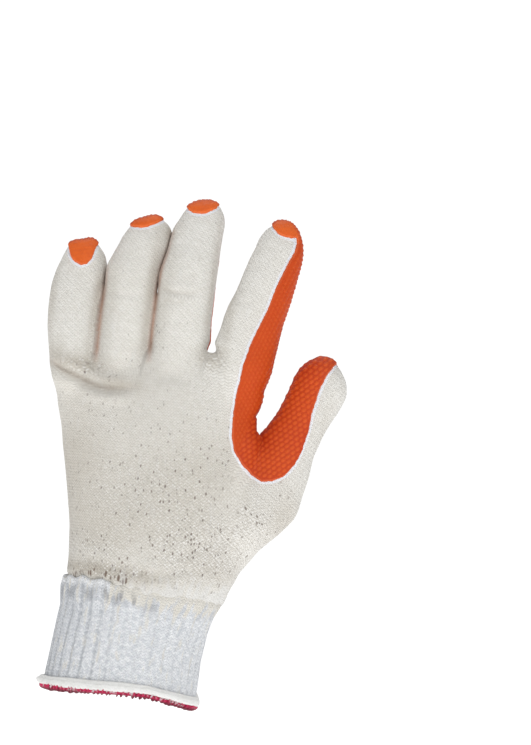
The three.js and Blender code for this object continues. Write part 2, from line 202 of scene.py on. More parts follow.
soft_light("key", (0.5, -0.9, 0.95), 0.45, 5.5)
soft_light("fill", (-1.0, -0.9, 0.35), 0.9, 1.1)
soft_light("rim", (-0.2, 0.5, 1.2), 0.7, 2.6)
print("three soft lights")

# %% [markdown]
# The hand's form. The real glove is knitted as one seamless tube per finger, so its surface is one
# smooth skin. It could be sculpted from a sphere, but the CAD liner already holds the true form: its
# outer skin is copied, joined into one even net by a voxel remesh, and relaxed until the facets go.


# %% Helpers for meshes
def only(thing):
    if bpy.context.mode != "OBJECT":
        bpy.ops.object.mode_set(mode="OBJECT")
    bpy.ops.object.select_all(action="DESELECT")
    thing.select_set(True)
    bpy.context.view_layer.objects.active = thing


def read(items, key, width=1, kind=np.float32):
    found = np.zeros(len(items) * width, kind)
    items.foreach_get(key, found)
    return found.reshape(-1, width) if width > 1 else found


def points_of(thing):
    return read(thing.data.vertices, "co", 3).astype(float) / MM


def put_points(thing, points):
    thing.data.vertices.foreach_set("co", (points * MM).astype(np.float32).ravel())
    thing.data.update()


def normals_of(thing):
    return read(thing.data.vertex_normals, "vector", 3).astype(float)


def apply_modifier(thing, kind, **settings):
    only(thing)
    modifier = thing.modifiers.new(kind.lower(), kind)
    for name, value in settings.items():
        setattr(modifier, name, value)
    bpy.ops.object.modifier_apply(modifier=modifier.name)


def edit(thing, mode, action="DESELECT"):
    only(thing)
    bpy.ops.object.mode_set(mode="EDIT")
    bpy.context.tool_settings.mesh_select_mode = [mode == name for name in ("VERT", "EDGE", "FACE")]
    bpy.ops.mesh.select_all(action=action)


def smooth_step(low, high, value):
    share = np.clip((value - low) / (high - low), 0, 1)
    return share * share * (3 - 2 * share)


# %% The liner's outer skin
WRIST_LINE = 54.7
SKIN_CELL = 1.25
RELAX_ROUNDS = 22
RELAX_LOSS = 0.32
WRIST_DROP = 14

skin = new_object("hand_skin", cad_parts["knit_liner"].data.copy())
skin.data.materials.clear()
edit(skin, "VERT", "SELECT")
bpy.ops.mesh.remove_doubles(threshold=0.00002)
edit(skin, "FACE")
bpy.ops.object.mode_set(mode="OBJECT")
for face in skin.data.polygons:
    face.select = face.center.z < (WRIST_LINE + 0.05) * MM and abs(face.normal.z) > 0.9
bpy.ops.object.mode_set(mode="EDIT")
bpy.ops.mesh.delete(type="FACE")
bpy.ops.mesh.separate(type="LOOSE")
bpy.ops.object.mode_set(mode="OBJECT")
shells = sorted(bpy.context.selected_objects, key=lambda thing: thing.dimensions.x)
skin = shells.pop()
for shell in shells:
    bpy.data.objects.remove(shell)
print("outer skin", [round(size / MM, 1) for size in skin.dimensions])

# %% Close the wrist below the cuff's edge, remesh evenly and relax
edit(skin, "EDGE")
bpy.ops.mesh.select_non_manifold(extend=False)
bpy.ops.mesh.extrude_region_move(TRANSFORM_OT_translate={"value": (0, 0, -WRIST_DROP * MM)})
bpy.ops.transform.resize(value=(0.9, 0.88, 1))
bpy.ops.mesh.edge_face_add()
bpy.ops.mesh.select_all(action="SELECT")
bpy.ops.mesh.normals_make_consistent(inside=False)
bpy.ops.object.mode_set(mode="OBJECT")
apply_modifier(skin, "REMESH", mode="VOXEL", voxel_size=SKIN_CELL * MM)
apply_modifier(skin, "SMOOTH", iterations=RELAX_ROUNDS, factor=0.5)
put_points(skin, points_of(skin) + RELAX_LOSS * normals_of(skin))
print("skin points", len(skin.data.vertices))

# %% [markdown]
# Every point of the skin needs to know which part of the hand it belongs to, because the yarn runs
# along each finger and the coating is laid on each finger's palm side. Each finger and the thumb
# has an axis through a few points. A point's place is read against the nearest axis: how far along
# it lies, how far round it, and how far towards the palm. An unwrap would cut the hand into flat
# islands, so this layout is worked out instead, and the yarn runs on without a break.

# %% Axes of the fingers and the thumb, root first
# Each has the length where it begins, the length that it needs to leave the palm, and its radius.
AXES = {
    "little": {"begins": 8, "blend": 22, "radius": 11.5, "line": [
        (-37.2, 0, 138.5), (-44.2, 0, 161.5), (-45.4, 1.8, 181.5), (-45.6, 7.1, 200.9),
        (-44.6, 18, 224)]},
    "ring": {"begins": 8, "blend": 22, "radius": 12, "line": [
        (-19.2, 0, 144.6), (-20.5, 0, 168.6), (-20.1, 2, 191.9), (-18.9, 7.9, 214.5), (-16.6, 20, 241)]},
    "middle": {"begins": 8, "blend": 22, "radius": 12.5, "line": [
        (6.3, 0, 146.9), (6.8, 0, 170.9), (7.4, 2, 197.2), (8.6, 8, 222.9), (10.4, 20, 253)]},
    "index": {"begins": 8, "blend": 22, "radius": 13, "line": [
        (37, 0, 147.1), (39.9, 0, 170.9), (44, 1.6, 194.9), (48.6, 6.3, 218.4), (54.8, 16, 246)]},
    "thumb": {"begins": 30, "blend": 26, "radius": 15, "line": [
        (26.6, 2, 65.7), (49.1, 5.2, 97.6), (62.3, 8.2, 119.5), (73.4, 11.3, 146.4), (85.5, 13, 178)]},
}
PALM = np.array([0.0, 1.0, 0.0])
ROOT_REACH = 30
FAR = 1e9


def legs_of(line):
    line = np.array(line, float)
    walked = 0.0
    for start, end in zip(line[:-1], line[1:]):
        length = np.linalg.norm(end - start)
        yield start, (end - start) / length, length, walked
        walked += length


def along_axis(points, line):
    best = np.full(len(points), FAR)
    along, side, palmward = np.zeros((3, len(points)))
    for start, forward, length, walked in legs_of(line):
        across = np.cross(PALM, forward)
        across /= np.linalg.norm(across)
        deep = np.cross(forward, across)
        before = -ROOT_REACH if walked == 0 else 0
        share = np.clip((points - start) @ forward, before, length)
        away = points - start - share[:, None] * forward
        distance = np.linalg.norm(away, axis=1)
        nearer = distance < best
        best = np.where(nearer, distance, best)
        along = np.where(nearer, walked + share, along)
        side = np.where(nearer, away @ across, side)
        palmward = np.where(nearer, away @ deep, palmward)
    return {"distance": best, "along": along, "side": side, "palmward": palmward}


# %% A point's part, and how much it belongs to that part rather than to the palm
BODY_HALF_WIDTH = 50
BODY_HALF_DEPTH = 21
FIRST_WALE = 1.8
NO_TIP = 99.0


def body_round():
    turns = np.linspace(-math.pi, math.pi, 721)
    outline = np.stack([BODY_HALF_WIDTH * np.cos(turns), BODY_HALF_DEPTH * np.sin(turns)], 1)
    steps = np.linalg.norm(np.diff(outline, axis=0), axis=1)
    lengths = np.concatenate([[0], np.cumsum(steps)])
    whole = FIRST_WALE * round(lengths[-1] / FIRST_WALE)
    return turns, lengths * whole / lengths[-1]


ROUND_TURNS, ROUND_LENGTHS = body_round()
ONCE_ROUND = ROUND_LENGTHS[-1]


def body_layout(points):
    turn = np.arctan2(-points[:, 0] / BODY_HALF_WIDTH, -points[:, 1] / BODY_HALF_DEPTH)
    turn = np.mod(turn - math.pi / 2 + math.pi, 2 * math.pi) - math.pi
    return np.interp(turn, ROUND_TURNS, ROUND_LENGTHS), points[:, 2]


def hand_layout(points):
    body_across, body_up = body_layout(points)
    found = {name: along_axis(points, axis["line"]) for name, axis in AXES.items()}
    nearest = np.argmin([
        place["distance"] / AXES[name]["radius"] + 9 * (place["along"] < 0)
        for name, place in found.items()
    ], axis=0)
    across, up, palmward = body_across.copy(), body_up.copy(), points[:, 1].copy()
    belongs = np.zeros(len(points))
    grip_side = points[:, 0].copy()
    from_tip = np.full(len(points), NO_TIP)
    for i, (name, place) in enumerate(found.items()):
        axis = AXES[name]
        line, radius = np.array(axis["line"], float), axis["radius"]
        share = smooth_step(axis["begins"], axis["begins"] + axis["blend"], place["along"])
        share *= (nearest == i) * smooth_step(2.2, 1.3, place["distance"] / radius)
        base_across, base_up = body_layout(line[1:2] - [[0, 10, 0]])
        own_across = base_across[0] - radius * np.arctan2(place["side"], -place["palmward"])
        own_up = base_up[0] + place["along"] - np.linalg.norm(line[1] - line[0])
        near = body_across + ONCE_ROUND * np.round((own_across - body_across) / ONCE_ROUND)
        across = np.where(share > 0, near + share * (own_across - near), across)
        up = up + share * (own_up - up)
        palmward = palmward + share * (place["palmward"] - palmward)
        belongs = np.maximum(belongs, share)
        length = np.linalg.norm(np.diff(line, axis=0), axis=1).sum()
        from_tip = np.where(share > 0.9, length - place["along"], from_tip)
        own_side = radius * np.arctan2(place["side"], place["palmward"])
        grip_side = np.where(share > 0, own_side, grip_side)
        if name == "thumb":
            thumb, thumb_side = share, place["side"]
    return {
        "across": across, "up": up, "palmward": palmward, "finger": belongs, "nearest": nearest,
        "thumb": thumb, "thumb_side": thumb_side, "grip_side": grip_side, "from_tip": from_tip,
    }


# %% How many points lie on the fingers and the thumb
layout = hand_layout(points_of(skin))
print("on fingers", int((layout["finger"] > 0.5).sum()), "on thumb", int((layout["thumb"] > 0.5).sum()))

# %% [markdown]
# The worn outline. Relaxing has drawn the fingertips in a little, and in the real glove the first
# three fingers lie against each other. As a sculptor pulls clay out to a drawn line, every part is
# pulled in the plane of the back until its silhouette meets the outline listed here.

# %% Outlines laid flat: the height of each tip, then rows of height, left edge and right edge
OUTLINES = {
    "body": {"rows": [
        (55, -33, 48), (60, -33, 50), (70, -33.5, 55), (80, -34.5, 62), (90, -36.5, 71), (97, -38, 76),
        (104, -39.6, 78), (110, -41, 79), (120, -43.5, 81), (130, -45.5, 82), (140, -48.5, 85),
        (150, -52, 89.5), (160, -55, 93.7)]},
    "little": {"tip": 222.9, "rows": [
        (163, -56, -32.1), (170, -57.4, -32.2), (178, -58.7, -32.4), (185.4, -59.2, -32.6),
        (192.4, -59.3, -32.3), (199.5, -59, -32.1), (205.7, -57.8, -32.2), (211, -56, -32.8),
        (216.3, -54.2, -34.3), (219.3, -53, -36.3), (220.8, -51.3, -37.6), (221.8, -48, -38.6)]},
    "ring": {"tip": 238.4, "rows": [
        (166, -32.6, -5.9), (180, -33, -5.8), (190, -33.1, -5.9), (200, -32.9, -5.9),
        (206, -32.9, -5.8), (211.5, -32.9, -5.2), (218.4, -30.3, -4.1), (223.2, -28.4, -3.2),
        (228, -26.5, -2.6), (232, -24.4, -2.7), (235.2, -21.5, -4.4), (237.3, -17.5, -6.9)]},
    "middle": {"tip": 249.7, "rows": [
        (166, -6.4, 23), (180, -6.5, 22.9), (190, -6.6, 22.2), (200, -6.7, 22.2), (210, -6.6, 22.3),
        (215, -5.8, 22.4), (222, -4.2, 22.5), (229, -3.1, 22.7), (234, -2.3, 22.9), (238.5, -0.2, 23.1),
        (243, 2, 22.4), (246, 3.6, 21.2), (248.3, 6.6, 19.6)]},
    "index": {"tip": 244.4, "rows": [
        (172, 24, 54.8), (180, 25.6, 55.7), (187, 27.4, 56.5), (194, 28.6, 57.4), (200, 30.1, 58.5),
        (206, 32.3, 59.6), (212, 34.2, 60.6), (218, 35.8, 61.5), (224, 37.5, 62.3), (230, 39.5, 62.4),
        (235, 40.8, 61.6), (239, 42.9, 60.2), (242, 45.7, 58.2)]},
    "thumb": {"tip": 179.4, "rows": [
        (147, 61.5, 88.5), (152, 63.3, 91), (157, 65.3, 92.9), (163, 67, 94.3), (168, 68.3, 93.6),
        (172, 70.2, 92), (175, 72.3, 90), (177.5, 75, 87.4)]},
}
WEB_EDGES = [
    {"side": "right", "rows": [
        (137, 51.2), (144, 50.1), (150, 51.1), (156.3, 52.1), (163.6, 53.5), (174.5, 55)]},
    {"side": "left", "rows": [(138, 55.4), (140, 57.3), (143.6, 59.1), (147, 61.5), (152, 63.3)]},
]
WEB_GAP = [(137, 53.8), (144, 55), (150, 56.8), (163, 60), (175, 63)]
WEB_BAND = 16
WEB_STARTS = 30
BODY_FADE = (170, 150)
EDGE_BAND = 24
ROW_BAND = 0.9


# %% Pull each part out to its outline
def draw_out(points, layout, measured):
    moved = points.copy()
    for name, outline in OUTLINES.items():
        rows = np.array(outline["rows"], float)
        flat = laid_flat(moved)
        if name == "body":
            share = smooth_step(*BODY_FADE, flat[:, 1])
            mine = measured
        else:
            share = layout["finger"] * (layout["nearest"] == list(AXES).index(name))
            mine = measured & (share > 0.5)
            tip = flat[mine, 1].max()
            rise = (outline["tip"] - tip) * smooth_step(rows[0, 0], tip, flat[:, 1]) * share
            moved = moved + rise[:, None] * UP
            flat = laid_flat(moved)
        edges = [[], []]
        for height in rows[:, 0]:
            near = flat[mine & (np.abs(flat[:, 1] - height) < ROW_BAND), 0]
            edges[0].append(near.min())
            edges[1].append(near.max())
        left, right, to_left, to_right = (
            np.interp(flat[:, 1], rows[:, 0], edge) for edge in (*edges, rows[:, 1], rows[:, 2])
        )
        if name == "body":
            on_left = smooth_step(left + EDGE_BAND, left, flat[:, 0])
            on_right = smooth_step(right - EDGE_BAND, right, flat[:, 0])
        else:
            on_right = np.clip((flat[:, 0] - left) / (right - left), 0, 1)
            on_left = 1 - on_right
        pull = (to_left - left) * on_left + (to_right - right) * on_right
        moved = moved + (share * pull)[:, None] * ACROSS
    return moved


# %% Pull the two edges of the web between index finger and thumb
def draw_web(points, measured):
    moved = points.copy()
    gap = np.array(WEB_GAP)
    for web in WEB_EDGES:
        rows = np.array(web["rows"], float)
        flat = laid_flat(moved)
        sign = 1 if web["side"] == "right" else -1
        own = sign * (np.interp(flat[:, 1], gap[:, 0], gap[:, 1]) - flat[:, 0]) > 0
        own &= flat[:, 0] > WEB_STARTS
        edge = [
            sign * (sign * flat[measured & own & (np.abs(flat[:, 1] - height) < ROW_BAND), 0]).max()
            for height in rows[:, 0]
        ]
        now = np.interp(flat[:, 1], rows[:, 0], edge)
        wanted = np.interp(flat[:, 1], rows[:, 0], rows[:, 1])
        share = smooth_step(rows[0, 0] - 5, rows[0, 0] + 1, flat[:, 1])
        share *= smooth_step(rows[-1, 0] + 6, rows[-1, 0] - 1, flat[:, 1])
        share *= smooth_step(WEB_BAND, 0, sign * (now - flat[:, 0])) * own
        moved = moved + (share * (wanted - now))[:, None] * ACROSS
    return moved


# %% Draw the skin out, and its axes with it
skin_points = points_of(skin)
axis_points = np.concatenate([np.array(axis["line"], float) for axis in AXES.values()])
both_points = np.concatenate([skin_points, axis_points])
is_skin = np.arange(len(both_points)) < len(skin_points)
whose = hand_layout(both_points)
drawn = draw_out(both_points, whose, is_skin)
drawn = draw_out(draw_web(drawn, is_skin), whose, is_skin)
put_points(skin, drawn[is_skin])
apply_modifier(skin, "SMOOTH", iterations=2, factor=0.3)
drawn_axes = np.split(drawn[~is_skin], np.cumsum([len(axis["line"]) for axis in AXES.values()])[:-1])
for axis, line in zip(AXES.values(), drawn_axes):
    axis["line"] = [tuple(point) for point in line]
print("farthest pull", round(float(np.linalg.norm(drawn - both_points, axis=1).max()), 1))

# %% [markdown]
# Folds. A worn glove isn't smooth: the knuckles leave a curved crease, the knit puckers where the
# cuff draws it in, and small wrinkles cross the fingers. These are pressed into the skin as soft
# grooves along drawn lines, each line laid flat on the back. A sculpting brush would do it too, but
# a drawn line can be measured and moved.


# %% Distance to a drawn line, and soft waves
def to_line(flat, line):
    best = np.full(len(flat), FAR)
    passed = np.zeros(len(flat))
    for start, forward, length, walked in legs_of(line):
        share = np.clip((flat - start) @ forward, 0, length)
        away = np.linalg.norm(flat - start - share[:, None] * forward, axis=1)
        nearer = away < best
        best = np.where(nearer, away, best)
        passed = np.where(nearer, walked + share, passed)
    return best, passed / (walked + length)


def soft_waves(points, size, seed, count=5):
    draws = np.random.default_rng(seed)
    total = np.zeros(len(points))
    for _ in range(count):
        way = draws.normal(size=3)
        way *= draws.uniform(0.6, 1.5) * 2 * math.pi / size / np.linalg.norm(way)
        total += np.sin(points @ way + draws.uniform(0, 2 * math.pi))
    return total / count


# %% Creases: a line on the back, how deep and how wide it is
CREASES = [
    {"line": [(-57, 161), (-48, 156.5), (-40, 154), (-32, 151), (-25, 150), (-17, 151), (-8, 153)],
     "deep": 2.3, "wide": 1.8},
    {"line": [(-5, 203.5), (1, 202), (8, 202), (16, 204)], "deep": 0.9, "wide": 1.3},
    {"line": [(-3, 198), (4, 197), (12, 199)], "deep": 0.5, "wide": 1.4},
    {"line": [(-31, 199), (-22, 197.5), (-12, 199)], "deep": 0.3, "wide": 1.3},
    {"line": [(30, 204), (37, 201), (44, 203)], "deep": 0.3, "wide": 1.3},
    {"line": [(-30, 66), (-12, 62), (6, 61), (24, 64)], "deep": 0.5, "wide": 1.8},
    {"line": [(8, 58), (22, 64), (36, 66)], "deep": 0.6, "wide": 1.6},
    {"line": [(22, 72), (38, 80), (52, 84)], "deep": 0.45, "wide": 2.2},
    {"line": [(-2, 158), (8, 160), (20, 158)], "deep": 0.35, "wide": 2.5},
]
RIDGE_SHARE = 0.45
SLOW_SWELL = 0.35
SMALL_SWELL = 0.14
WRIST_PUCKER = 0.45
WRIST_PUCKER_REACH = 6.0


def press_folds(points, normals):
    flat = laid_flat(points)
    faces_back = smooth_step(0.05, 0.5, normals @ BACK)
    moved = SLOW_SWELL * soft_waves(points, 46, 3) + SMALL_SWELL * soft_waves(points, 17, 4)
    for crease in CREASES:
        away, passed = to_line(flat, crease["line"])
        ends = smooth_step(0, 0.2, passed) * smooth_step(0, 0.3, 1 - passed)
        groove = np.exp(-(away / crease["wide"]) ** 2)
        swell = np.exp(-((away - 2.6 * crease["wide"]) / (1.5 * crease["wide"])) ** 2)
        moved += crease["deep"] * ends * faces_back * (RIDGE_SHARE * swell - groove)
    gather = np.exp(-np.clip(points[:, 2] - WRIST_LINE, 0, None) / WRIST_PUCKER_REACH)
    turn = np.arctan2(points[:, 1], points[:, 0] - 5)
    moved += WRIST_PUCKER * gather * np.sin(19 * turn + 2 * np.sin(3 * turn))
    return points + moved[:, None] * normals


put_points(skin, press_folds(points_of(skin), normals_of(skin)))
print("creases", len(CREASES))

# %% [markdown]
# The liner. The skin is opened at the wrist and given the thickness of the knit, inwards. A layout
# in millimetres is kept as a UV map, across the wales and along the courses, so the stitches follow
# each finger. The layout starts again after one round of the body, so a face that spans that jump
# counts its low corners one round further on.


# %% Keep the layout on a mesh, and a value of its own for each point
LAYOUT_UNIT = 100


def keep_layout(thing, name, across, up):
    corners = read(thing.data.loops, "vertex_index", kind=np.int32)
    pairs = np.stack([across[corners], up[corners]], 1) / LAYOUT_UNIT
    counts = read(thing.data.polygons, "loop_total", kind=np.int32)
    owner = np.repeat(np.arange(len(counts)), counts)
    highest = np.full(len(counts), -FAR)
    np.maximum.at(highest, owner, pairs[:, 0])
    once = ONCE_ROUND / LAYOUT_UNIT
    pairs[:, 0] += once * (highest[owner] - pairs[:, 0] > once / 2)
    layer = thing.data.uv_layers.new(name=name)
    layer.data.foreach_set("uv", pairs.astype(np.float32).ravel())


def keep_values(thing, **kept):
    for name, values in kept.items():
        layer = thing.data.attributes.new(name, "FLOAT", "POINT")
        layer.data.foreach_set("value", values.astype(np.float32))


# %% [markdown]
# Where the coating lies. The glove was dipped palm first, so rubber covers the palm side up to the
# middle of each side, wraps over the fingertips, and runs up between thumb and index finger. Its
# edge on the back and at the heel is drawn as outlines. Along the sides it is a depth towards the
# palm, and over the tips it follows how far the skin has turned from the back.

# %% Outlines of the coating on the back, laid flat, and of its heel on the palm
BACK_OUTLINES = [
    [(45.4, 243), (47.2, 240.6), (49.6, 238.4), (53, 236.9), (56.6, 236.7), (59.2, 237.3),
     (59.6, 234.5), (59, 229.5), (56.3, 223.3), (52.5, 212), (49.7, 200), (47.2, 193),
     (45.3, 188), (43, 180), (41, 170), (39.7, 157), (39.3, 147), (40, 135), (42.3, 127.5),
     (46.7, 121.5), (52.5, 116.6), (57.6, 114.2), (63, 114.9), (69, 118.6), (73.3, 125),
     (76, 133), (77.7, 143), (78.8, 153), (80.8, 163), (83, 170.5), (86.6, 176.5), (93, 183),
     (93, 200), (80, 262), (36, 262), (38, 247)],
    [(-30, 233), (-24.4, 232.4), (-22, 232.1), (-18.5, 232.2), (-15.1, 233.1), (-11.7, 234.8),
     (-9, 236.7), (-6.9, 238.1), (-4, 241), (-5, 252), (-30, 252)],
    [(-2, 247.5), (3, 245.6), (4.2, 243.8), (6.3, 242.9), (8.9, 242.7), (12.8, 243.6),
     (15.6, 245.1), (17.9, 247.1), (19.8, 249.4), (23, 256), (22, 264), (-4, 264)],
    [(-57, 224), (-53.4, 220.3), (-52.5, 216.5), (-51.3, 213.1), (-48.9, 210.7), (-45.8, 209.7),
     (-42.9, 210.7), (-40.9, 213.5), (-39.8, 217.7), (-38.8, 221.3), (-38, 225), (-44, 234),
     (-55, 232)],
]
HEEL_OUTLINE = [
    (-96, 112), (-47.8, 109.5), (-44, 99), (-38.5, 89.9), (-31, 80), (-22.9, 72.4), (-12, 66.6),
    (0, 63.9), (14, 62.8), (27, 63.7), (38, 67.6), (47.8, 74.6), (56, 83.6), (64.5, 94.2),
    (74.9, 113.8), (112, 150), (112, 300), (-96, 300),
]
COAT_SIDE = 5.5
THUMB_SIDE = 10.5
TIP_TURN = 9
TIP_START = 4


def inside_by(flat, outline):
    outline = np.array(outline, float)
    ring = np.vstack([outline, outline[:1]])
    away, _ = to_line(flat, ring)
    inside = np.zeros(len(flat), bool)
    for start, end in zip(ring[:-1], ring[1:]):
        crosses = (start[1] > flat[:, 1]) != (end[1] > flat[:, 1])
        rise = end[1] - start[1] if end[1] != start[1] else 1e-9
        where = start[0] + (flat[:, 1] - start[1]) * (end[0] - start[0]) / rise
        inside ^= crosses & (flat[:, 0] < where)
    return np.where(inside, away, -away)


def coat_reach(points, layout, normals):
    flat = laid_flat(points)
    heel = inside_by(points[:, [0, 2]], HEEL_OUTLINE)
    side = COAT_SIDE + 0.8 * np.sin(points[:, 2] / 9) * (1 - layout["finger"])
    thumb, thumb_side, from_tip = layout["thumb"], layout["thumb_side"], layout["from_tip"]
    side = side * (1 - 0.8 * thumb) + 6 * thumb * smooth_step(-2, 7, thumb_side)
    palm = layout["palmward"] - side
    thumb_edge = THUMB_SIDE - thumb_side + 30 * (1 - thumb)
    palm = np.where(thumb > 0, np.minimum(palm, thumb_edge), palm)
    tip = -TIP_TURN * (normals @ BACK) - TIP_START - 5 * smooth_step(7, 26, from_tip)
    tip -= 60 * smooth_step(22, 34, from_tip)
    reach = np.maximum(np.minimum(palm, heel), tip)
    for outline in BACK_OUTLINES:
        reach = np.maximum(reach, inside_by(flat, outline))
    wavy = 0.28 * soft_waves(points, 6, 11) + 0.2 * soft_waves(points, 2.4, 12)
    return reach + wavy


# %% [markdown]
# The coating is cut from a finer copy of the skin. Selected faces with a Solidify would leave a
# zigzag edge, so each triangle that the edge crosses is split on the line. The kept skin is lifted
# by the coating's thickness, which falls to nothing in a round lip at the edge.


# %% Split triangles where a value passes a level, and keep the part above it
def split_at(triangles, values, level, keep_below):
    corner = values[triangles]
    above = corner >= level
    count = above.sum(1)
    crossed = (count == 1) | (count == 2)
    new_from, new_to, new_share = [], [], []
    made = {}

    def cut(first, second):
        key = (min(first, second), max(first, second))
        if key not in made:
            made[key] = len(values) + len(new_from)
            low, high = key
            new_from.append(low)
            new_to.append(high)
            new_share.append((level - values[low]) / (values[high] - values[low]))
        return made[key]

    extra = []
    for triangle, flags in zip(triangles[crossed], above[crossed]):
        lone = int(np.argmax(flags)) if flags.sum() == 1 else int(np.argmin(flags))
        a, b, c = (int(triangle[(lone + i) % 3]) for i in range(3))
        ab, ac = cut(a, b), cut(a, c)
        if flags.sum() == 1:
            extra.append((a, ab, ac))
            if keep_below:
                extra += [(ab, b, c), (ab, c, ac)]
        else:
            extra += [(ab, b, c), (ab, c, ac)]
            if keep_below:
                extra.append((a, ab, ac))
    kept = np.concatenate([
        triangles[count == 3], triangles[(count == 0) & keep_below],
        np.array(extra, np.int64).reshape(-1, 3),
    ])
    return kept, np.array(new_from, int), np.array(new_to, int), np.array(new_share)


def split_all(triangles, columns, levels):
    for level, keep_below in levels:
        triangles, first, second, share = split_at(triangles, columns["reach"], level, keep_below)
        for name, values in columns.items():
            part = share[:, None] if values.ndim == 2 else share
            between_them = values[first] * (1 - part) + values[second] * part
            columns[name] = np.concatenate([values, between_them])
        columns["reach"][len(columns["reach"]) - len(first):] = level
    used, triangles = np.unique(triangles, return_inverse=True)
    return triangles.reshape(-1, 3), {name: values[used] for name, values in columns.items()}


# %% A finer copy of the skin, as triangles
LIP_LEVELS = [(0.0, False), (0.35, True), (0.8, True)]

fine_skin = new_object("fine_skin", skin.data.copy())
apply_modifier(fine_skin, "SUBSURF", levels=1, render_levels=1)
apply_modifier(fine_skin, "TRIANGULATE")
fine_points, fine_normals = points_of(fine_skin), normals_of(fine_skin)
fine_layout = hand_layout(fine_points)
columns = {name: fine_layout[name] for name in ("across", "up", "finger", "thumb", "grip_side")}
columns["points"], columns["normals"] = fine_points, fine_normals
columns["reach"] = coat_reach(fine_points, fine_layout, fine_normals)
triangles = read(fine_skin.data.polygons, "vertices", 3, np.int32).astype(np.int64)
triangles, columns = split_all(triangles, columns, LIP_LEVELS)
only(fine_skin)
bpy.data.objects.remove(fine_skin)
print("coating triangles", len(triangles))

# %% [markdown]
# The grip. The real rubber is pressed with a low relief: staggered pips on the palm, chevron ridges
# on the fingers and slanting dashes on the thumb, while the strip beside the index finger has only a
# faint net. The relief is in the mesh, so it shows in the outline too.

# %% Relief on the coating, in millimetres
COAT_LIFT = 1.2
LIP = 0.8
PIP_ACROSS = 3.0
PIP_UP = 2.5
PIP_LEAN = math.radians(9)
CHEVRON = 2.5
RELIEF_HEIGHT = 0.42
THUMB_RELIEF = 0.8
NET_RELIEF = 0.6
UNEVEN = 0.05
# Where the painted highlight on the fingertip caps starts: the split across, then the height on its left
# and right
CAP_MIDDLE = 26
CAP_LINES = (206, 233)


def pips(across, up):
    a = (across * math.cos(PIP_LEAN) + up * math.sin(PIP_LEAN)) / PIP_ACROSS
    b = (up * math.cos(PIP_LEAN) - across * math.sin(PIP_LEAN)) / PIP_UP
    dx = (np.mod(a + 0.5 * np.mod(np.floor(b), 2), 1) - 0.5) * PIP_ACROSS
    dy = (np.mod(b, 1) - 0.5) * PIP_UP
    return np.exp(-((dx / 0.95) ** 2 + (dy / 0.7) ** 2) ** 1.3)


def chevrons(across, up):
    wave = np.cos(2 * math.pi * (up + 0.55 * np.abs(across)) / CHEVRON)
    broken = 0.75 + 0.25 * np.cos(2 * math.pi * across / 3.4)
    return np.clip(0.5 + 0.5 * wave, 0, 1) ** 1.4 * broken


def dashes(across, up, slant, long_pitch, pitch):
    along = across * math.cos(slant) + up * math.sin(slant)
    over = (up * math.cos(slant) - across * math.sin(slant)) / pitch
    da = (np.mod(along / long_pitch + 0.5 * np.mod(np.floor(over), 2), 1) - 0.5) * long_pitch
    db = (np.mod(over, 1) - 0.5) * pitch
    return np.exp(-((da / (0.36 * long_pitch)) ** 2 + (db / (0.3 * pitch)) ** 2) ** 1.3)


# %% Lift the skin by the coating and its relief
points, normals, reach = columns["points"], columns["normals"], columns["reach"]
grip_across = np.where(columns["finger"] > 0, columns["grip_side"], points[:, 0])
finger_share = smooth_step(0.3, 0.7, columns["finger"]) * (columns["thumb"] < 0.01)
thumb_share = smooth_step(0.15, 0.5, columns["thumb"])
palm_share = (1 - finger_share) * (1 - thumb_share)
plain = smooth_step(0.1, 0.55, normals @ BACK) * (1 - thumb_share)
coat_flat = laid_flat(points)
net = dashes(coat_flat[:, 0], coat_flat[:, 1], math.radians(72), 2.3, 1.7)
relief = (
    palm_share * pips(points[:, 0], points[:, 2])
    + finger_share * chevrons(grip_across, columns["up"])
    + thumb_share * THUMB_RELIEF * dashes(coat_flat[:, 0], coat_flat[:, 1], math.radians(47), 3.0, 2.1)
)
relief = (relief * (1 - plain) + NET_RELIEF * net * plain) * smooth_step(0.6, 2.2, reach)
edge = np.clip(reach / LIP, 0, 1)
lift = COAT_LIFT * np.sqrt(1 - (1 - edge) ** 2) - 0.15 * (1 - edge)
lift += RELIEF_HEIGHT * relief + UNEVEN * soft_waves(points, 3.1, 21) * edge
coat_mesh = bpy.data.meshes.new("latex_coating_skin")
coat_mesh.from_pydata((points + lift[:, None] * normals) * MM, [], triangles.tolist())
coating = new_object("latex_coating_skin", coat_mesh)
# Painted highlight: the plain caps of the fingertips are made brighter
cap_line = np.where(coat_flat[:, 0] > CAP_MIDDLE, CAP_LINES[1], CAP_LINES[0])
cap = plain * smooth_step(cap_line, cap_line + 7, coat_flat[:, 1])
keep_layout(coating, "yarn", columns["across"], columns["up"])
keep_values(coating, relief=relief, reach=reach, plain=plain, cap=cap)
only(coating)
bpy.ops.object.shade_smooth()
print("coating", len(coat_mesh.vertices), "points", len(coat_mesh.polygons), "faces")

# %% [markdown]
# How the knit is worn and shaded. Stretched places show small holes between the stitches, painted
# darker as the shade inside them. Folds, the sides of the fingers and parts of the palm get painted
# shade, and so do the grooves between the fingers and the knuckle's crease. Each is a value for
# every point, worked out from a short list of soft spots and lines laid flat.

# %% Where the knit is stretched thin and shows small holes: middle and half size, and amount
OPEN_EVERYWHERE = 0.06
THIN_PLACES = [
    (28, 78, 26, 20, 0.95), (-10, 61, 22, 5, 0.9), (-36, 160, 20, 6, 0.5), (26, 172, 7, 9, 0.6),
    (8, 98, 48, 40, 0.5), (-20, 72, 24, 10, 0.6), (-34, 172, 4, 12, 0.45), (-5, 178, 4, 12, 0.45),
    (56, 92, 16, 16, 0.6), (0, 130, 45, 20, 0.3),
]


def soft_spots(flat, places):
    for across, up, wide, tall, amount in places:
        away = ((flat[:, 0] - across) / wide) ** 2 + ((flat[:, 1] - up) / tall) ** 2
        yield amount * np.exp(-away)


def stretched_thin(flat):
    return np.max(list(soft_spots(flat, THIN_PLACES)), axis=0) + OPEN_EVERYWHERE
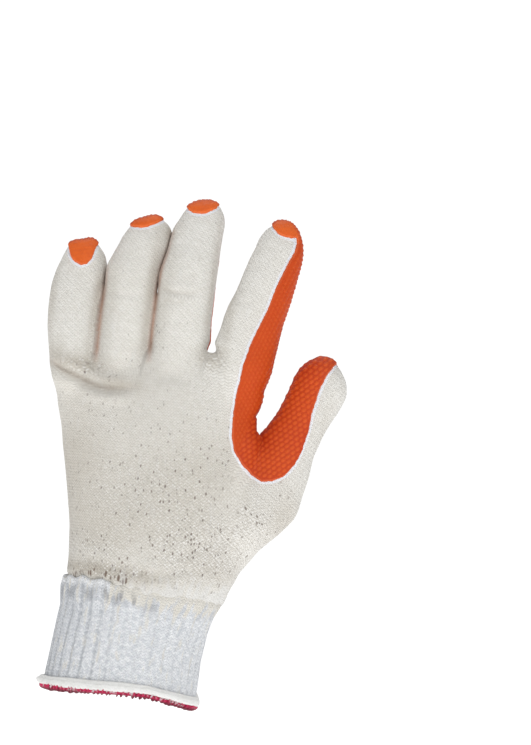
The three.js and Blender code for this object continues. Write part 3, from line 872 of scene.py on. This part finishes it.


# %% Painted shade of the folds, the sides of the fingers and the palm: middle and half size, and amount
SHADE_PLACES = [
    (-40, 161, 14, 4.5, 0.55), (-20, 153.5, 12, 3, 0.45), (-53, 164, 5, 7, 0.35),
    (-22, 60, 24, 5, 0.6), (6, 58, 18, 5, 0.35), (-20, 80, 26, 13, 0.3), (-38, 112, 18, 34, 0.42),
    (5, 100, 40, 34, 0.33), (36, 120, 22, 30, 0.26), (72, 96, 9, 17, 0.35), (40, 66, 16, 9, 0.3),
    (86, 140, 5, 22, 0.2), (-12, 152, 40, 16, 0.16),
    (-35.2, 188, 2.6, 24, 0.5), (-9.2, 200, 2.8, 32, 0.45), (20.6, 208, 1.6, 30, 0.3),
    (-58, 190, 2.6, 26, 0.35), (-29.5, 196, 4, 26, 0.25), (-2, 206, 4, 30, 0.22),
    (31, 196, 2.5, 26, 0.3), (24, 172, 6, 5, 0.45), (-4, 232, 2.5, 4, 0.5),
]
SHADED_CREASES = 3
# Lines between the fingers where painted shade lies, laid flat
GROOVES = [
    [(-32.9, 212), (-32.7, 197), (-33, 190), (-32.8, 178), (-32.3, 164)],
    [(-2.3, 234.5), (-4, 222), (-5.7, 214.6), (-6.5, 202), (-6.4, 184), (-6, 167)],
]


# Painted shade: how much darker each point is made by the listed spots
def shaded(flat):
    lightness = np.ones(len(flat))
    for spot in soft_spots(flat, SHADE_PLACES):
        lightness *= 1 - spot
    return 1 - lightness


# Painted shade along the knuckle's crease and the two wrinkles on the middle finger
def creased(flat):
    total = np.zeros(len(flat))
    for crease in CREASES[:SHADED_CREASES]:
        away, passed = to_line(flat + [0, -0.5], crease["line"])
        ends = smooth_step(0, 0.1, passed) * smooth_step(0, 0.35, 1 - passed)
        total += min(crease["deep"] / 2.2, 1) * ends * np.exp(-(away / (0.65 * crease["wide"])) ** 2)
    return total


def grooved(flat):
    total = np.zeros(len(flat))
    for line in GROOVES:
        away, passed = to_line(flat, line)
        strong = 0.45 + 0.55 * (smooth_step(0, 0.35, passed) * smooth_step(0, 0.12, 1 - passed))
        total = np.maximum(total, np.exp(-(away / 1.2) ** 2) * strong * smooth_step(0, 0.04, passed))
    return total


# %% The cuff's top line, higher and more gathered on the left of the back
CUFF_TOP = 52.8
GATHER_RISE = 1.8


def gathered_side(turn):
    return smooth_step(0.35, -0.45, np.cos(turn)) * smooth_step(0.5, 0, np.sin(turn))


def cuff_top(turn):
    left = gathered_side(turn)
    scallops = 0.75 * np.cos(17 * turn + 1.3 * np.sin(2 * turn)) + 0.4 * np.sin(5 * turn)
    return CUFF_TOP + GATHER_RISE * left + scallops * (0.25 + 0.75 * left)


# %% The liner: open the wrist, keep its layout, give it thickness
KNIT_THICK = 1.8
ROW_SLANT = math.radians(38)
LINER_BOTTOM = 47

liner = skin
liner.name = "knit_liner_cloth"
edit(liner, "VERT", "SELECT")
bpy.ops.mesh.bisect(plane_co=(0, 0, LINER_BOTTOM * MM), plane_no=(0, 0, 1), clear_inner=True)
bpy.ops.object.mode_set(mode="OBJECT")
liner_points, liner_normals = points_of(liner), normals_of(liner)
liner_layout, liner_flat = hand_layout(liner_points), laid_flat(liner_points)
turn = np.arctan2(liner_points[:, 1] / 22, liner_points[:, 0] / 40)
left = gathered_side(turn)
from_top = liner_points[:, 2] - cuff_top(turn)
tuck = smooth_step(-0.8 + 4.4 * left, -5 + 4.4 * left, from_top) * (1.2 + 0.4 * left)
waves = np.sin(23 * turn + 3 * np.sin(4 * turn))
tuck += 0.35 * (1 - left) * waves * smooth_step(6, -2, from_top)
faces_back = smooth_step(-0.1, 0.35, liner_normals @ BACK)
drawn_in = np.exp(-((liner_flat[:, 0] + 3) / 19) ** 4) * faces_back
near_top = np.exp(-((from_top - 3.4 - 1.6 * (1 - left)) / 3.2) ** 2)
keep_layout(liner, "yarn", liner_layout["across"], liner_layout["up"])
keep_values(
    liner,
    reach=coat_reach(liner_points, liner_layout, liner_normals),
    sheer=stretched_thin(liner_flat),
    # painted shade of folds, finger sides and palm, on faces turned to the back
    shade=shaded(liner_flat) * faces_back,
    # painted shade in the grooves between the fingers
    groove=grooved(liner_flat) * faces_back,
    # painted shade along the knuckle's crease and the wrinkles
    crease=creased(liner_flat) * faces_back,
    row=liner_flat @ [math.sin(ROW_SLANT), math.cos(ROW_SLANT)],
    finger=np.maximum(liner_layout["finger"], 0.35),
    # painted shade in slits where the liner tucks in behind the cuff's top
    slits=np.maximum(left, drawn_in) * near_top,
    whitened=smooth_step(13, -3, from_top) * (1 - 0.8 * left),
)
put_points(liner, liner_points - tuck[:, None] * liner_normals)
apply_modifier(liner, "SOLIDIFY", thickness=KNIT_THICK * MM, offset=-1, use_rim=True)
only(liner)
bpy.ops.object.shade_smooth()
print("liner faces", len(liner.data.polygons))

# %% [markdown]
# The cuff is ribbed elastic knit: thirty four ribs stand out between grooves, and a band of gathers
# at its top draws it onto the hand. It is one sleeve with an outer face, a rolled top and an inner
# face. A flat grid is added and wrapped round the wrist, so its own UV map stays flat and even.


# %% Wrap a grid into a closed sleeve
def sleeve(name, round_it, over_it, place):
    bpy.ops.object.select_all(action="DESELECT")
    bpy.ops.mesh.primitive_grid_add(x_subdivisions=round_it, y_subdivisions=over_it, size=1)
    made = bpy.context.object
    made.name = name
    flat = points_of(made) * MM
    put_points(made, place(flat[:, 0] + 0.5, flat[:, 1] + 0.5))
    edit(made, "VERT", "SELECT")
    bpy.ops.mesh.remove_doubles(threshold=0.00001)
    bpy.ops.mesh.normals_make_consistent(inside=False)
    bpy.ops.object.mode_set(mode="OBJECT")
    bpy.ops.object.shade_smooth()
    return made


# %% Sizes of the cuff: height, then how far it reaches to each side
CUFF_ROWS = np.array([
    [6.8, 37.7, 39.6, 25.0, 25.0],
    [21.1, 36.5, 39.6, 24.5, 24.5],
    [34.4, 35.2, 41.3, 23.8, 24.0],
    [43.0, 34.2, 43.4, 23.1, 23.5],
    [48.7, 33.7, 45.9, 22.9, 23.4],
    [54.4, 33.4, 47.4, 22.3, 23.4],
])
CUFF_BOTTOM = 5.8
CUFF_WALL = 2.2
RIB_COUNT = 34
RIB_DEPTH = 1.15
GATHER_DEPTH = 1.2

# %% How the mouth waves: a share of its width, then the height at the near and the far side
MOUTH_WAVE = np.array([
    [-1, -2.3, -2.3], [-0.77, -2.1, -1.9], [-0.28, -1.1, 0.75], [0.18, 0, 3.0], [0.48, 0.25, 3.3],
    [0.68, -1.0, 2.2], [0.95, -2.8, -1.2], [1, -3.3, -3.3],
])


# %% The cuff's face, rolled top and inside
def mouth_wave(turn):
    near, far = (np.interp(np.cos(turn), MOUTH_WAVE[:, 0], MOUTH_WAVE[:, i]) for i in (1, 2))
    return near + (far - near) * smooth_step(-0.35, 0.35, np.sin(turn))


def mouth_place(turn, height, outward):
    sizes = [np.interp(height, CUFF_ROWS[:, 0], CUFF_ROWS[:, i]) for i in (1, 2, 3, 4)]
    cos, sin = np.cos(turn), np.sin(turn)
    wide = np.where(cos > 0, sizes[1], sizes[0]) + outward
    deep = np.where(sin > 0, sizes[3], sizes[2]) + outward
    return np.stack([wide * cos, deep * sin, height], 1)


def puckers(turn, height):
    return 0.5 + 0.5 * np.cos(17 * turn + 1.3 * np.sin(2 * turn) + 0.8 * np.sin(height / 3.2))


def cuff_place(u, v):
    turn = 2 * math.pi * u
    stops = np.array([0, 0.5, 0.53, 0.56, 0.59, 0.97, 1.0])
    top_share = np.interp(v, stops, [0, 1, 1, 1, 1, 0, 0])
    height = (1 - top_share) * (CUFF_BOTTOM + mouth_wave(turn)) + top_share * cuff_top(turn)
    height += np.interp(v, stops, [0, 0, 0.7, 0.5, -0.8, 0, 0])
    inward = np.interp(v, stops, [0, 0, 0.5, 1.4, CUFF_WALL, CUFF_WALL, 0])
    face = np.interp(v, [0, 0.02, 0.5, 0.56], [0.4, 1, 1, 0])
    left = gathered_side(turn)
    wander = turn + 0.02 * np.sin(3 * turn + height / 9) + 0.008 * np.sin(11 * turn - height / 5)
    rib = np.abs(np.sin(RIB_COUNT / 2 * wander)) ** 0.75
    x_share = np.cos(turn)
    worn = 1 - 0.6 * smooth_step(-0.5, 0.1, x_share) * smooth_step(1.0, 0.8, x_share)
    rib_share = np.interp(height, [6.8, 10, 38, 44, 50], [0.7, 1, 1, 0.55, 0.25])
    gathered = np.interp(height, [40, 45, 50, 54, 56], [0, 0.55, 1, 0.9, 0.7]) * (0.3 + 0.7 * left)
    fine = 0.5 + 0.5 * np.cos(68 * turn + 2 * np.sin(7 * turn))
    outward = -RIB_DEPTH * worn * rib_share * (1 - rib)
    outward += gathered * (GATHER_DEPTH * puckers(turn, height) + 0.25 * fine)
    outward += 0.25 * np.sin(5 * turn + height / 13) + 0.5 * gathered
    outward -= 1.1 * (1 - left) * smooth_step(-4.5, 0.5, height - cuff_top(turn))
    return mouth_place(turn, height, face * outward - inward)


# %% Make the cuff, and keep what its finish needs
cuff = sleeve("rib_cuff_knit", RIB_COUNT * 10, 110, cuff_place)
cuff_points = points_of(cuff)
turn = np.arctan2(cuff_points[:, 1] / 24, (cuff_points[:, 0] - 4) / 40)
height = cuff_points[:, 2]
from_top = height - cuff_top(turn)
left = gathered_side(turn)
hollow = 0.25 + 0.75 * (1 - puckers(turn, height))
mid_back = np.exp(-((np.cos(turn) + 0.12) / 0.4) ** 2) * smooth_step(0.2, -0.2, np.sin(turn))
keep_values(
    cuff,
    # painted highlight along the gathered top on the left
    crest=left * smooth_step(-4.2, -1.5, from_top),
    # painted shade in the hollows under the gathers
    fold=np.exp(-((from_top + 7) / 3) ** 2) * hollow * (0.6 + 0.4 * left),
    # how strongly the rib grooves get painted shade and the grey flecks show: most on the left
    ribbed=1 - 0.75 * smooth_step(-0.55, 0, np.cos(turn)),
    # painted shade: grey columns under the gathers in the middle of the back
    slits=mid_back * np.exp(-((from_top + 8 - 3 * left) / 4) ** 2),
    creamy=smooth_step(-14, 0, from_top) * (0.15 + 0.85 * smooth_step(-0.5, 0.1, np.cos(turn))),
    # painted shade on the left side of the cuff, away from the key light
    shade=0.5 * smooth_step(-0.35, -1, np.cos(turn)),
)
print("cuff faces", len(cuff.data.polygons))

# %% [markdown]
# Hem and edge. The mouth ends in a smooth rolled band with a faint line under its upper edge. Below
# it an overlock stitch wraps the raw edge in crimson thread: one torus is shaped as one loop of
# thread, then copied round the mouth with small changes of slant and size, as sewn loops have. A
# bevel on the cuff could stand for the roll, but it is cotton and the cuff is elastic, so it is a
# band of its own.


# %% Hem band
HEM_HEIGHT = 4.5
HEM_TALL = 2.35
HEM_THICK = 1.75
HEM_SQUARED = 0.8


def hem_place(u, v):
    turn, way = 2 * math.pi * u, 2 * math.pi * v
    cos, sin = np.cos(way), np.sin(way)
    tall = HEM_TALL + 0.2 * np.sin(3 * turn + 1) + 0.12 * np.sin(8 * turn)
    thick = HEM_THICK + 0.25 * np.cos(turn) + 0.12 * np.sin(5 * turn)
    up = np.sign(sin) * np.abs(sin) ** HEM_SQUARED * tall
    out = np.sign(cos) * np.abs(cos) ** HEM_SQUARED * thick
    dent = 0.45 * np.exp(-((up - 1.25) / 0.35) ** 2) * (cos > 0)
    lean = 1.0 - 0.22 * up - 0.9 * smooth_step(0.8, 1.0, np.cos(turn))
    lean += smooth_step(-0.93, -1.0, np.cos(turn)) * (1.5 - 0.6 * np.abs(up))
    up += mouth_wave(turn)
    return mouth_place(turn, HEM_HEIGHT + up, 0) + radial(turn) * (out - dent + lean)[:, None]


def radial(turn):
    return np.stack([np.cos(turn), np.sin(turn), 0 * turn], 1)


hem = sleeve("hem_roll", 240, 28, hem_place)
print("hem faces", len(hem.data.polygons))


# %% Edge band under the thread
EDGE_HEIGHT = 1.6


def edge_place(u, v):
    turn, way = 2 * math.pi * u, 2 * math.pi * v
    up = 1.1 * np.sin(way) + mouth_wave(turn)
    out = 1.6 * np.cos(way) - 1.2 * ends(turn)
    return mouth_place(turn, EDGE_HEIGHT + up, 0) + radial(turn) * (0.1 + out)[:, None]


def ends(turn):
    return smooth_step(0.8, 0.94, np.abs(np.cos(turn)))


edge_band = sleeve("overlock_thread", 200, 12, edge_place)

# %% Loops of thread
LOOP_COUNT = 104
THREAD_RADIUS = 0.2
draws = np.random.default_rng(7)
bpy.ops.object.select_all(action="DESELECT")
bpy.ops.mesh.primitive_torus_add(
    major_segments=14, minor_segments=6, major_radius=1 * MM, minor_radius=THREAD_RADIUS * MM,
    rotation=(math.pi / 2, 0, 0),
)
loop = bpy.context.object
bpy.ops.object.transform_apply(location=False, rotation=True, scale=True)
loop_points = points_of(loop)
ring = np.linalg.norm(loop_points[:, [0, 2]], axis=1)
bare = loop_points / np.maximum(ring, 1e-6)[:, None]
loops = []
for i in range(LOOP_COUNT):
    turn = np.array([2 * math.pi * (i + draws.uniform(-0.28, 0.28)) / LOOP_COUNT])
    out = radial(turn)[0]
    tangent = np.array([-out[1], out[0], 0])
    wave, end = mouth_wave(turn)[0], ends(turn)[0]
    centre = mouth_place(turn, np.array([6.8]), 0)[0] * [1, 1, 0]
    centre += [0, 0, 1.75 + wave + draws.uniform(-0.2, 0.2)] + out * (draws.uniform(0, 0.35) - 1.3 * end)
    slant = draws.uniform(0.1, 0.75)
    wide, tall = draws.uniform(1.8, 2.3), draws.uniform(1.25, 1.7)
    thick = draws.uniform(1.5, 2.4)
    radius = 1 + (ring - 1) * thick
    shaped = (
        centre
        + out * (bare[:, 0] * radius * wide)[:, None]
        + np.array([0, 0, 1.0]) * (bare[:, 2] * radius * tall)[:, None]
        + tangent * (loop_points[:, 1] * thick * 1.15 + slant * bare[:, 2] * 1.4)[:, None]
    )
    copy = new_object("loop", loop.data.copy())
    put_points(copy, shaped)
    loops.append(copy)
bpy.data.objects.remove(loop)
only(edge_band)
for copy in loops:
    copy.select_set(True)
bpy.ops.object.join()
edit(edge_band, "FACE", "SELECT")
bpy.ops.mesh.normals_make_consistent(inside=False)
bpy.ops.object.mode_set(mode="OBJECT")
bpy.ops.object.shade_smooth()
# Painted shade: the thread is made darker on its underside and its inner face
thread_points = points_of(edge_band)
turn = np.arctan2(thread_points[:, 1] / 25, thread_points[:, 0] / 38)
low = smooth_step(1.6, 0.2, thread_points[:, 2] - mouth_wave(turn))
inside = smooth_step(0.1, -0.5, (normals_of(edge_band) * radial(turn)).sum(1))
keep_values(edge_band, dark=np.maximum(low, inside))
print("thread faces", len(edge_band.data.polygons))

# %% [markdown]
# Finishes. Cloth is yarn: each stitch is a small V of two slanting legs, and light catches the legs
# and leaves the gaps in shade, so the finishes paint that shade into the gaps as darker colour. A
# picture of knit would repeat and blur, so the V is drawn by nodes. One node group draws it from a
# layout in units of 100 mm, and gives its height and a tone of its own for each stitch, so liner,
# cuff and hem can all use it at their own pitch. A second group gives slow patches of tone, as
# handled cloth and rubber have. Each finish starts from two close tones and lays thin layers over
# them, as a painter glazes: a mask says where a layer lies, an amount how strong it is, and then
# comes its colour.


# %% Node groups
def new_group(name, inputs, outputs):
    tree = bpy.data.node_groups.new(name, "ShaderNodeTree")
    for label, kind in inputs:
        tree.interface.new_socket(label, in_out="INPUT", socket_type=kind)
    for label, kind in outputs:
        tree.interface.new_socket(label, in_out="OUTPUT", socket_type=kind)
    return tree, tree.nodes.new("NodeGroupInput").outputs, tree.nodes.new("NodeGroupOutput").inputs


def stitch_group():
    tree, given, result = new_group(
        "knit_stitches",
        [("Layout", "NodeSocketVector"), ("Wale", "NodeSocketFloat"), ("Course", "NodeSocketFloat")],
        [("Height", "NodeSocketFloat"), ("Tone", "NodeSocketFloat")],
    )
    apart = add_node(tree, "ShaderNodeSeparateXYZ", {0: given["Layout"]})
    wale = maths(tree, "DIVIDE", apart.outputs[0], given["Wale"])
    course = maths(tree, "DIVIDE", apart.outputs[1], given["Course"])
    across = times(tree, maths(tree, "PINGPONG", wale, 0.5), 2.0)
    slanted = maths(tree, "MULTIPLY_ADD", across, 0.6, course)
    row = maths(tree, "SINE", times(tree, maths(tree, "FRACT", slanted), math.pi))
    leg = maths(tree, "SINE", times(tree, across, math.pi))
    leg = maths(tree, "MULTIPLY_ADD", leg, 0.6, 0.4)
    height = times(tree, maths(tree, "POWER", row, 0.7), leg)
    cell = add_node(tree, "ShaderNodeCombineXYZ", {
        0: maths(tree, "FLOOR", wale), 1: maths(tree, "FLOOR", slanted),
    })
    tone = add_node(tree, "ShaderNodeTexWhiteNoise", {0: cell.outputs[0]}, noise_dimensions="2D")
    tree.links.new(height, result["Height"])
    tree.links.new(tone.outputs[0], result["Tone"])
    return tree


def patch_group():
    tree, given, result = new_group(
        "soft_patches",
        [("Place", "NodeSocketVector"), ("Size", "NodeSocketFloat"), ("Rough", "NodeSocketFloat")],
        [("Amount", "NodeSocketFloat")],
    )
    scale = maths(tree, "DIVIDE", 1.0, given["Size"])
    noise = add_node(tree, "ShaderNodeTexNoise", {
        "Vector": given["Place"], "Scale": scale, "Detail": 3.0, "Roughness": given["Rough"],
    })
    tree.links.new(between(tree, noise.outputs[0], 0.3, 0.7), result["Amount"])
    return tree


STITCHES = stitch_group()
PATCHES = patch_group()
print("node groups", STITCHES.name, PATCHES.name)


def place_group(tree, group, **values):
    made = tree.nodes.new("ShaderNodeGroup")
    made.node_tree = group
    for key, value in values.items():
        feed(tree, made.inputs[key], value)
    return made.outputs


# %% Small steps that the finishes share
def stitches(tree, layout, wale, course):
    made = place_group(tree, STITCHES, Layout=layout, Wale=wale, Course=course)
    return made["Height"], made["Tone"]


def patches(tree, place, size, rough):
    return place_group(tree, PATCHES, Place=place, Size=size, Rough=rough)["Amount"]


def layout_of(tree, name):
    return add_node(tree, "ShaderNodeUVMap", uv_map=name).outputs[0]


def value_of(tree, name):
    return add_node(tree, "ShaderNodeAttribute", attribute_name=name).outputs["Fac"]


def object_place(tree):
    return add_node(tree, "ShaderNodeTexCoord").outputs["Object"]


def turned(tree, layout, degrees, stretch=(1, 1)):
    return add_node(tree, "ShaderNodeMapping", {
        "Vector": layout, "Rotation": (0, 0, math.radians(degrees)), "Scale": (*stretch, 1),
    }).outputs[0]


def cells(tree, layout, scale, uneven=1.0):
    return add_node(tree, "ShaderNodeTexVoronoi", {
        "Vector": layout, "Scale": scale, "Randomness": uneven,
    }).outputs


def picked(tree, cell, rim, value, weight, limits):
    luck = add_node(tree, "ShaderNodeSeparateColor", {0: cell["Color"]}).outputs[0]
    wins = between(tree, maths(tree, "MULTIPLY_ADD", value, weight, luck), *limits)
    return times(tree, between(tree, cell["Distance"], *rim), wins)


def layered(tree, colour, layers):
    for mask, amount, tint in layers:
        share = mask if amount == 1 else times(tree, mask, amount)
        colour = mixed(tree, share, colour, tint)
    return colour


def connect(tree, shader, colour, rough, height, distance, strength):
    bump = add_node(tree, "ShaderNodeBump", {
        "Height": height, "Distance": distance, "Strength": strength,
    })
    for name, value in (("Base Color", colour), ("Roughness", rough), ("Normal", bump.outputs[0])):
        tree.links.new(value, shader.inputs[name])


def cloth_sheen(shader, weight):
    shader.inputs["Sheen Weight"].default_value = weight
    shader.inputs["Sheen Roughness"].default_value = 0.6
    shader.inputs["Specular IOR Level"].default_value = 0.25


# %% Cream knit of the liner
ROW_PITCH = 1.9


def cream_knit():
    material, tree, shader = new_material("cream_knit_finish")
    place, layout = object_place(tree), layout_of(tree, "yarn")
    raised, tone = stitches(tree, layout, wale=0.018, course=0.0145)
    slow = patches(tree, place, size=0.035, rough=0.5)
    fine = patches(tree, place, size=0.003, rough=0.6)
    sheer = value_of(tree, "sheer")
    thin = between(tree, sheer, 0.1, 0.8)
    row = maths(tree, "SINE", times(tree, value_of(tree, "row"), 2 * math.pi / ROW_PITCH))
    clear = maths(tree, "MAXIMUM", value_of(tree, "finger"), times(tree, thin, 1.6))
    row = times(tree, between(tree, row, -1.0, 1.0), clear)
    net = cells(tree, turned(tree, layout, -40), 68.0, 0.45)["Distance"]
    # Painted highlight: small glints on the stitches, stronger where the knit is stretched
    bright = maths(tree, "MULTIPLY_ADD", thin, 0.5, 0.08)
    open_knit = maths(tree, "MULTIPLY_ADD", thin, 0.45, 0.36)
    specks = cells(tree, turned(tree, layout, 14, (1, 0.55)), 80.0, 0.7)
    hole = picked(tree, specks, (0.42, 0.2), sheer, 0.6, (0.86, 1.28))
    runs = cells(tree, turned(tree, layout, 0, (1, 0.36)), 56.0)
    # Painted shade in the pucker slits above the cuff's top
    slit = picked(tree, runs, (0.45, 0.22), value_of(tree, "slits"), 1.1, (0.9, 1.25))
    streak = patches(tree, turned(tree, layout, -32, (1, 0.2)), size=0.024, rough=0.5)
    white = maths(tree, "ADD", value_of(tree, "whitened"), streak)
    reach = value_of(tree, "reach")
    rim = times(tree, between(tree, reach, -1.5, -0.9), between(tree, reach, 0.2, 0.0))
    colour = layered(tree, mixed(tree, tone, (0.745, 0.727, 0.675), (0.82, 0.805, 0.76)), [
        (slow, 0.3, (0.77, 0.735, 0.665)),
        (fine, 0.1, (0.9, 0.89, 0.86)),
        (row, 0.15, (0.47, 0.45, 0.41)),
        # painted shade of folds, finger sides and palm
        (value_of(tree, "shade"), 1, (0.38, 0.33, 0.255)),
        # painted highlight: glints on the stitches
        (between(tree, net, 0.42, 0.12), bright, (0.93, 0.93, 0.92)),
        (times(tree, between(tree, net, 0.5, 0.75), thin), 0.4, (0.42, 0.4, 0.37)),
        # painted shade in the gaps between stitches, stronger where the knit is stretched
        (between(tree, raised, 0.45, 0.0), open_knit, (0.4, 0.355, 0.29)),
        # small holes of the stretched knit, painted darker as the shade inside them; the bump presses
        # them in too
        (hole, 0.8, (0.2, 0.155, 0.13)),
        (slit, 0.85, (0.15, 0.1, 0.07)),
        # painted shade along the crease and wrinkles
        (value_of(tree, "crease"), 0.6, (0.36, 0.3, 0.24)),
        # painted shade, warm brown, in the grooves between the fingers
        (value_of(tree, "groove"), 0.8, (0.42, 0.22, 0.14)),
        (between(tree, white, 0.75, 1.35), 0.22, (0.75, 0.77, 0.8)),
        (rim, 0.85, (0.83, 0.89, 0.95)),
    ])
    height = maths(tree, "SUBTRACT", raised, times(tree, hole, 1.5))
    height = maths(tree, "ADD", height, times(tree, fine, 0.12))
    height = maths(tree, "SUBTRACT", height, times(tree, row, 0.35))
    rough = between(tree, raised, 0.0, 1.0, 0.98, 0.82)
    connect(tree, shader, colour, rough, height, distance=0.0005, strength=0.65)
    cloth_sheen(shader, 0.12)
    return material


# %% White elastic rib of the cuff
def white_rib():
    material, tree, shader = new_material("white_rib_finish")
    own = layout_of(tree, "UVMap")
    flat = turned(tree, own, 0, (2.04, 0.96))
    raised, tone = stitches(tree, flat, wale=0.02, course=0.015)
    across = add_node(tree, "ShaderNodeSeparateXYZ", {0: own}).outputs[0]
    # Painted shade in the grooves between the ribs
    wave = maths(tree, "SINE", times(tree, across, math.pi * RIB_COUNT))
    groove = between(tree, maths(tree, "ABSOLUTE", wave), 0.7, 0.1)
    fleck = patches(tree, flat, size=0.019, rough=0.6)
    slow = patches(tree, object_place(tree), size=0.03, rough=0.5)
    ribbed = value_of(tree, "ribbed")
    dull = maths(tree, "MULTIPLY_ADD", ribbed, 0.2, 0.3)
    broken = maths(tree, "MULTIPLY_ADD", between(tree, fleck, 0.1, 0.6), 0.55, 0.45)
    slanting = turned(tree, flat, -30, (1, 0.22))
    streak = patches(tree, slanting, size=0.024, rough=0.5)
    warm = maths(tree, "ADD", value_of(tree, "creamy"), streak)
    # Painted shade in grey columns under the gathers
    run = between(tree, cells(tree, slanting, 52.0)["Distance"], 0.55, 0.3)
    colour = layered(tree, mixed(tree, tone, (0.7, 0.72, 0.745), (0.785, 0.8, 0.82)), [
        (between(tree, fleck, 0.5, 0.9), dull, (0.5, 0.53, 0.575)),
        (between(tree, fleck, 0.4, 0.05), 0.5, (0.92, 0.93, 0.94)),
        # painted shade in the rib grooves, broken into dashes
        (times(tree, groove, ribbed), times(tree, broken, 0.55), (0.33, 0.35, 0.38)),
        # painted shade on the left side of the cuff
        (value_of(tree, "shade"), 1, (0.5, 0.52, 0.55)),
        # painted highlight on the crest of the gathers
        (value_of(tree, "crest"), 0.75, (0.86, 0.87, 0.88)),
        # painted shade in the hollows of the gathers
        (value_of(tree, "fold"), 0.75, (0.33, 0.34, 0.36)),
        (between(tree, warm, 0.7, 1.2), 0.8, (0.76, 0.72, 0.63)),
        (times(tree, run, value_of(tree, "slits")), 0.75, (0.27, 0.26, 0.26)),
        # painted shade in the gaps between stitches
        (between(tree, raised, 0.4, 0.0), 0.36, (0.36, 0.38, 0.42)),
    ])
    height = maths(tree, "ADD", raised, times(tree, fleck, 0.35))
    height = maths(tree, "ADD", height, times(tree, slow, 0.1))
    rough = between(tree, raised, 0.0, 1.0, 0.97, 0.8)
    connect(tree, shader, colour, rough, height, distance=0.0006, strength=0.75)
    cloth_sheen(shader, 0.12)
    return material


# %% Cream cotton of the hem
def cream_hem():
    material, tree, shader = new_material("cream_hem_finish")
    flat = turned(tree, layout_of(tree, "UVMap"), 0, (2.1, 0.14))
    raised, tone = stitches(tree, flat, wale=0.013, course=0.01)
    slow = patches(tree, object_place(tree), size=0.012, rough=0.6)
    colour = layered(tree, mixed(tree, tone, (0.73, 0.73, 0.7), (0.82, 0.82, 0.8)), [
        (slow, 0.5, (0.87, 0.87, 0.85)),
        # painted shade in the gaps between stitches
        (between(tree, raised, 0.3, 0.0), 0.22, (0.45, 0.44, 0.42)),
    ])
    rough = between(tree, slow, 0.0, 1.0, 0.95, 0.8)
    connect(tree, shader, colour, rough, raised, distance=0.0003, strength=0.5)
    cloth_sheen(shader, 0.2)
    return material


# %% Crimson sewing thread
def crimson_thread():
    material, tree, shader = new_material("crimson_thread_finish")
    apart = add_node(tree, "ShaderNodeSeparateXYZ", {0: layout_of(tree, "UVMap")}).outputs
    ply = maths(tree, "PINGPONG", maths(tree, "MULTIPLY_ADD", apart[0], 16.0, apart[1]), 0.5)
    slow = patches(tree, object_place(tree), size=0.0032, rough=0.7)
    dark = value_of(tree, "dark")
    cotton = times(tree, between(tree, slow, 0.42, 0.12), maths(tree, "SUBTRACT", 1.0, dark))
    colour = layered(tree, mixed(tree, slow, (0.4, 0.005, 0.045), (0.64, 0.01, 0.095)), [
        (ply, 0.4, (0.78, 0.1, 0.22)),
        (cotton, 0.85, (0.76, 0.68, 0.7)),
        # painted shade on the thread's underside and inner face
        (dark, 0.88, (0.075, 0.006, 0.014)),
    ])
    rough = between(tree, ply, 0.0, 0.5, 0.75, 0.5)
    connect(tree, shader, colour, rough, ply, distance=0.0002, strength=0.8)
    cloth_sheen(shader, 0.1)
    return material


# %% Orange latex of the coating
def orange_latex():
    material, tree, shader = new_material("orange_latex_finish")
    place = object_place(tree)
    relief, plain = value_of(tree, "relief"), value_of(tree, "plain")
    slow = patches(tree, place, size=0.03, rough=0.5)
    fine = patches(tree, place, size=0.0011, rough=0.7)
    crinkle = patches(tree, place, size=0.0035, rough=0.6)
    # Painted shade in the valleys of the grip relief
    valley = times(tree, between(tree, relief, 0.3, 0.0), 0.4)
    colour = layered(tree, mixed(tree, slow, (0.54, 0.052, 0.008), (0.64, 0.078, 0.01)), [
        (plain, 0.8, (0.52, 0.056, 0.004)),
        # painted highlight on the fingertip caps
        (value_of(tree, "cap"), 0.8, (0.82, 0.15, 0.022)),
        # painted highlight on the tops of the grip relief
        (relief, 0.55, (0.72, 0.14, 0.022)),
        # painted shade in the valleys, off the plain strip
        (valley, maths(tree, "SUBTRACT", 1.0, plain), (0.34, 0.024, 0.006)),
        (crinkle, 0.2, (0.46, 0.04, 0.008)),
        (between(tree, value_of(tree, "reach"), 0.9, 0.2), 0.35, (0.78, 0.2, 0.07)),
    ])
    rough = maths(tree, "MULTIPLY_ADD", relief, -0.08, maths(tree, "MULTIPLY_ADD", fine, 0.15, 0.5))
    height = maths(tree, "MULTIPLY_ADD", crinkle, 0.6, times(tree, fine, 0.4))
    connect(tree, shader, colour, rough, height, distance=0.00025, strength=0.6)
    shader.inputs["Specular IOR Level"].default_value = 0.2
    return material


# %% [markdown]
# Each piece rides on the frame, stands for the CAD node that it dresses, which is hidden, and gets
# its finish. The liner and the cuff are cloth, so the size each would have if it were opened out flat
# is printed, as half the area of its faces.

# %% Dress the frame
for piece, node, slot, finish in (
    (liner, "knit_liner", "cream_knit", cream_knit()),
    (coating, "latex_coating", "orange_latex", orange_latex()),
    (cuff, "rib_cuff", "white_rib", white_rib()),
    (hem, "hem_band", "cream_hem", cream_hem()),
    (edge_band, "overlock_edge", "crimson_thread", crimson_thread()),
):
    piece.data.materials.clear()
    piece.data.materials.append(finish)
    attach(piece, "root")
    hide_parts(node)
    print(piece.name, "stands for", node)


def cloth_area(thing):
    return sum(face.area for face in thing.data.polygons) / 2


print("cloth areas", round(cloth_area(liner), 4), round(cloth_area(cuff), 4))
